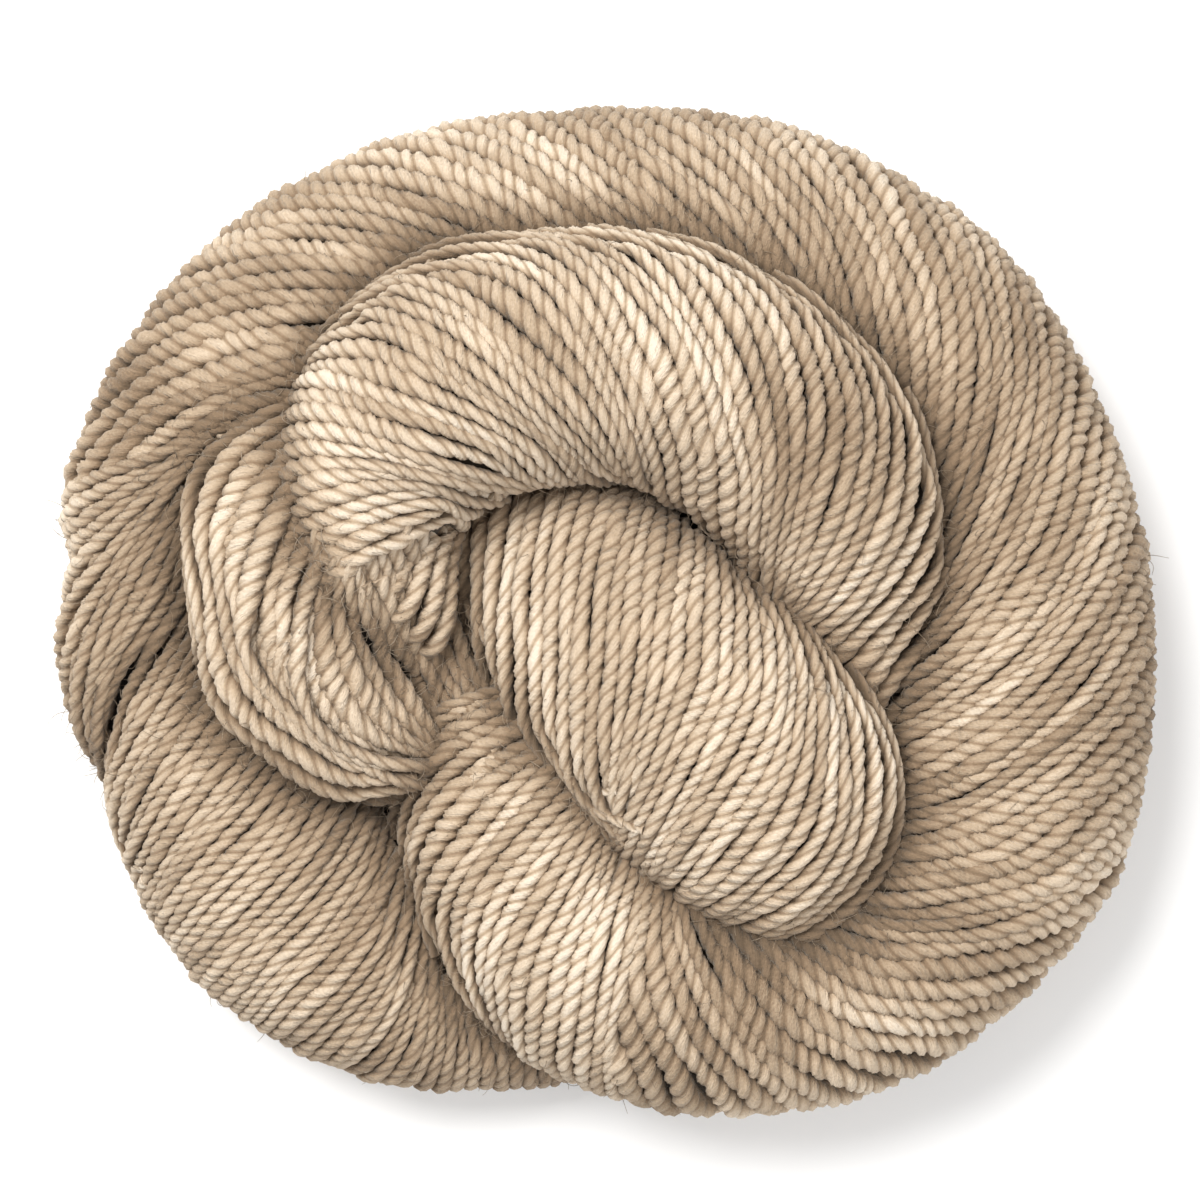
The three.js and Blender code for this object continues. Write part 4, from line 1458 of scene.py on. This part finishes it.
# %% [markdown]
# ## The strands
# Here the yarn of the hank is made, one set of strands after the other. A mesh of bare edges
# carries the runs and their values into the tree, and the yarn that comes out is kept as a
# plain mesh. An object for each run would do as well, but hundreds of them are slow to
# handle, so the runs of a set share a few pieces of a size that is still easy to draw.

# %% Strands of every bundle
PIECE_STEPS = 7900  # sections in one piece, which keeps it under 200,000 triangles
YARN = {"Points round": 12, "Plies": float(PLIES), "Valley radius": 0.74, "Material": wool}
# The values that each point of a path carries. Thickness and crease are stored in metres.
CARRIED = {"thick": MM, "turn": 1, "tone": 1, "along": 1, "crease": MM}


def gather(runs):
    """Each kind of value of all the runs in one array."""
    return {label: np.concatenate([run[label] for run in runs]) for label in runs[0]}


def host_mesh(name, runs):
    """A mesh of bare edges through the runs, in metres, with their values as attributes."""
    gathered = gather(runs)
    centres = gathered["points"] * MM
    edges, first = [], 0
    for run in runs:
        count = len(run["points"])
        edges.extend((first + step, first + step + 1) for step in range(count - 1))
        first += count
    mesh = bpy.data.meshes.new(name)
    mesh.from_pydata(centres.tolist(), edges, [])
    for label, scale in CARRIED.items():
        stored = mesh.attributes.new(label, "FLOAT", "POINT")
        stored.data.foreach_set("value", gathered[label] * scale)
    for label, vectors in (("centre", centres), ("outward", gathered["outward"])):
        stored = mesh.attributes.new(label, "FLOAT_VECTOR", "POINT")
        stored.data.foreach_set("vector", vectors.ravel())
    return add_object(name, mesh)


def batches(runs, limit):
    """The runs in lots of at most the given number of steps."""
    lot, size = [], 0
    for run in runs:
        if lot and size + len(run["points"]) > limit:
            yield lot
            lot, size = [], 0
        lot.append(run)
        size += len(run["points"])
    yield lot


def triangles(piece):
    piece.data.calc_loop_triangles()
    return len(piece.data.loop_triangles)


def spin(runs, values, name):
    """One piece of yarn or fibres that is swept along the runs."""
    host = host_mesh(f"{name}_paths", runs)
    piece = bake(host, yarn_tree, values, name)
    bpy.data.objects.remove(host)
    print(name, triangles(piece), "triangles")
    return piece


yarn_pieces = [
    spin(lot, YARN, f"{set_name}_strands_{number}")
    for set_name, runs in all_runs.items()
    for number, lot in enumerate(batches(runs, PIECE_STEPS), start=1)
]

# %% [markdown]
# ## Fluff
# Single fibres of the wool stand away from the yarn, most of them in the creases where the
# bundles rub together. Each is a curl a few millimetres long that turns a little more at
# every step, about an axis that drifts. The same tree sweeps them, with three points round
# and no plies. A hair system would do the same, but it doesn't last outside of Blender.

# %% Curled fibres
FLUFF = {"Points round": 3, "Plies": 0.0, "Valley radius": 1.0, "Material": wool}
FIBRES = 2600
FIBRE_STEP = 0.55  # mm
FIBRE_POINTS = (5, 10)  # in one fibre, from the first number up to, but without, the second
FIBRE_THICK = 0.065  # mm
CREASE_REACH = 3.5  # mm from another bundle within which most fibres stand
STRAY = 0.02  # weight of a place far from any crease; one deep in a crease has 1
LOWEST_FIBRE = 12  # mm
LEAN = 0.7  # how far a fibre leans over where it starts
ROOT = 0.8  # radii above the middle of its strand
BEND = (0.1, 0.55)  # radians at each step
DRIFT = 0.3  # how far the axis of the bend moves at each step
FIBRE_FLOOR = 0.1  # mm
FIBRE_PAINTED_LIGHT = 0.15  # change of tone, painted light for the light that shines through a single fibre


def fluff_runs(runs, count, seed):
    """Runs of curled fibres that start on the skin of the strands."""
    rng = np.random.default_rng(seed)
    gathered = gather(runs)
    weights = np.exp(-gathered["crease"] / CREASE_REACH) + STRAY
    weights *= gathered["points"][:, 2] > LOWEST_FIBRE
    chosen = rng.choice(len(weights), count, p=weights / weights.sum())
    outward = gathered["outward"][chosen]
    heading = unit(outward + rng.normal(size=(count, 3)) * LEAN)
    place = gathered["points"][chosen] + heading * gathered["thick"][chosen, None] * ROOT
    axis = unit(rng.normal(size=(count, 3)))
    bend = rng.uniform(*BEND, (count, 1))
    track = [place]
    for _ in range(FIBRE_POINTS[1] - 1):
        square = np.cross(axis, heading)
        heading = unit(heading * np.cos(bend) + square * np.sin(bend))
        axis = unit(axis + rng.normal(size=(count, 3)) * DRIFT)
        place = place + heading * FIBRE_STEP
        place[:, 2] = np.maximum(place[:, 2], FIBRE_FLOOR)
        track.append(place)
    track = np.stack(track, axis=1)
    sizes = rng.integers(*FIBRE_POINTS, count)
    return [
        {
            "points": track[index, :size],
            "outward": np.repeat(outward[index:index + 1], size, axis=0),
            "thick": np.linspace(FIBRE_THICK, FIBRE_THICK / 2, size),
            "turn": np.zeros(size),
            "tone": np.full(size, FIBRE_PAINTED_LIGHT + gathered["tone"][chosen[index]]),
            "along": np.arange(size) * FIBRE_STEP,
            "crease": np.full(size, FAR),
        }
        for index, size in enumerate(sizes)
    ]


yarn_pieces.append(spin(fluff_runs(sum(all_runs.values(), []), FIBRES, seed=301), FLUFF, "fluff"))

# %% [markdown]
# ## The yarn underneath
# Between two strands the eye sees more yarn, in shadow. Strands of the layers below would
# cost as much again, so a closed tube a little smaller than each bundle stands in for them:
# its wool is darkened as painted shade, and it also keeps the light from shining through the
# nest.

# %% Layers below the surface
CORE_SIDES = 56
CORE_FLOOR = 0.9  # mm


def core_piece():
    """Smaller closed tubes in all the bundles, of wool darkened as painted shade, as one piece."""
    points, faces = joined(
        closed_tube(rows, CORE_INSET[name], CORE_SIDES, CORE_FLOOR)
        for name, rows in SECTIONS.items()
    )
    mesh = bpy.data.meshes.new("core")
    mesh.from_pydata((np.array(points) * MM).tolist(), [], faces)
    mesh.materials.append(painted_shade_wool)
    mesh.shade_smooth()
    return add_object("core", mesh)


core = core_piece()
print("core:", triangles(core), "triangles")

# %% [markdown]
# ## Floor, light and camera
# The photograph looks straight down on the nest in soft light from the upper left. A big
# area light gives the soft shadows between the strands, a weaker one stands across from it,
# and a pale world fills what they leave dark. A picture of a real room could light the nest
# too, but it would have to be read from a file.

# %% Stage
PIXELS_PER_MM = 6.6
PHOTO_SIZE = 1200
PHOTO_ORIGIN = (603.5, 615.5)  # pixel of the tables' own zero
FOCUS_HEIGHT = 25  # mm
CAMERA_ABOVE = 1200  # mm
SENSOR = 36  # mm
FARTHEST = 10  # metres that the camera sees
FLOOR_HALF = 3.0  # metres
FLOOR_COLOUR = (0.93, 0.93, 0.93, 1)
WORLD_LIGHT = 0.5
# For each lamp: its place and its size in metres, its power in watts and its colour.
LAMPS = {
    "key": ((-0.55, 0.6, 1.25), 0.9, 27, (1.0, 0.99, 0.97)),
    "fill": ((0.7, -0.6, 1.2), 1.2, 11, (1, 1, 1)),
}


def add_lamp(name, place, size, energy, colour):
    """A round area light that faces the nest."""
    light = bpy.data.lights.new(name, "AREA")
    light.shape = "DISK"
    light.size = size
    light.energy = energy
    light.color = colour
    lamp = add_object(name, light)
    lamp.location = place
    lamp.rotation_euler = (-Vector(place)).to_track_quat("-Z", "Y").to_euler()


def floor_piece():
    """A wide pale sheet under the nest."""
    mesh = bpy.data.meshes.new("floor")
    turns = [(-1, -1), (1, -1), (1, 1), (-1, 1)]
    corners = [(x * FLOOR_HALF, y * FLOOR_HALF, 0) for x, y in turns]
    mesh.from_pydata(corners, [], [(0, 1, 2, 3)])
    material = bpy.data.materials.new("pale_floor")
    material.use_nodes = True
    shader = material.node_tree.nodes["Principled BSDF"]
    shader.inputs["Base Color"].default_value = FLOOR_COLOUR
    shader.inputs["Roughness"].default_value = 0.9
    mesh.materials.append(material)
    return add_object("floor", mesh)


def add_world():
    """An even white world round the nest."""
    world = bpy.data.worlds.new("soft_room")
    world.use_nodes = True
    background = world.node_tree.nodes["Background"]
    background.inputs["Color"].default_value = (1, 1, 1, 1)
    background.inputs["Strength"].default_value = WORLD_LIGHT
    bpy.context.scene.world = world


def aim_camera():
    """A camera high above the nest that sees what the photograph shows."""
    camera = bpy.data.cameras.new("camera")
    camera.sensor_width = SENSOR
    camera.lens = SENSOR * CAMERA_ABOVE / (PHOTO_SIZE / PIXELS_PER_MM)
    camera.clip_end = FARTHEST
    view = add_object("camera", camera)
    middle = PHOTO_SIZE / 2
    across = (middle - PHOTO_ORIGIN[0]) / PIXELS_PER_MM - PLAN_CENTRE[0]
    upward = (PHOTO_ORIGIN[1] - middle) / PIXELS_PER_MM - PLAN_CENTRE[1]
    view.location = (across * MM, upward * MM, (FOCUS_HEIGHT + CAMERA_ABOVE) * MM)
    bpy.context.scene.camera = view


floor = floor_piece()
for name, settings in LAMPS.items():
    add_lamp(name, *settings)
add_world()
bpy.context.scene.view_settings.view_transform = "Standard"
aim_camera()
print("lamps:", list(LAMPS))

# %% [markdown]
# ## Handing over
# Every piece rides on the one body of the nest, and the core, darkened as painted shade,
# takes the place of the plain solid. The solid could stay under the yarn, but it would show
# between the strands.

# %% Rides and a count of triangles
for piece in [*yarn_pieces, core]:
    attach(piece, "root")
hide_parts("hank")

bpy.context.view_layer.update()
print("triangles added:", sum(triangles(piece) for piece in [*yarn_pieces, core]))
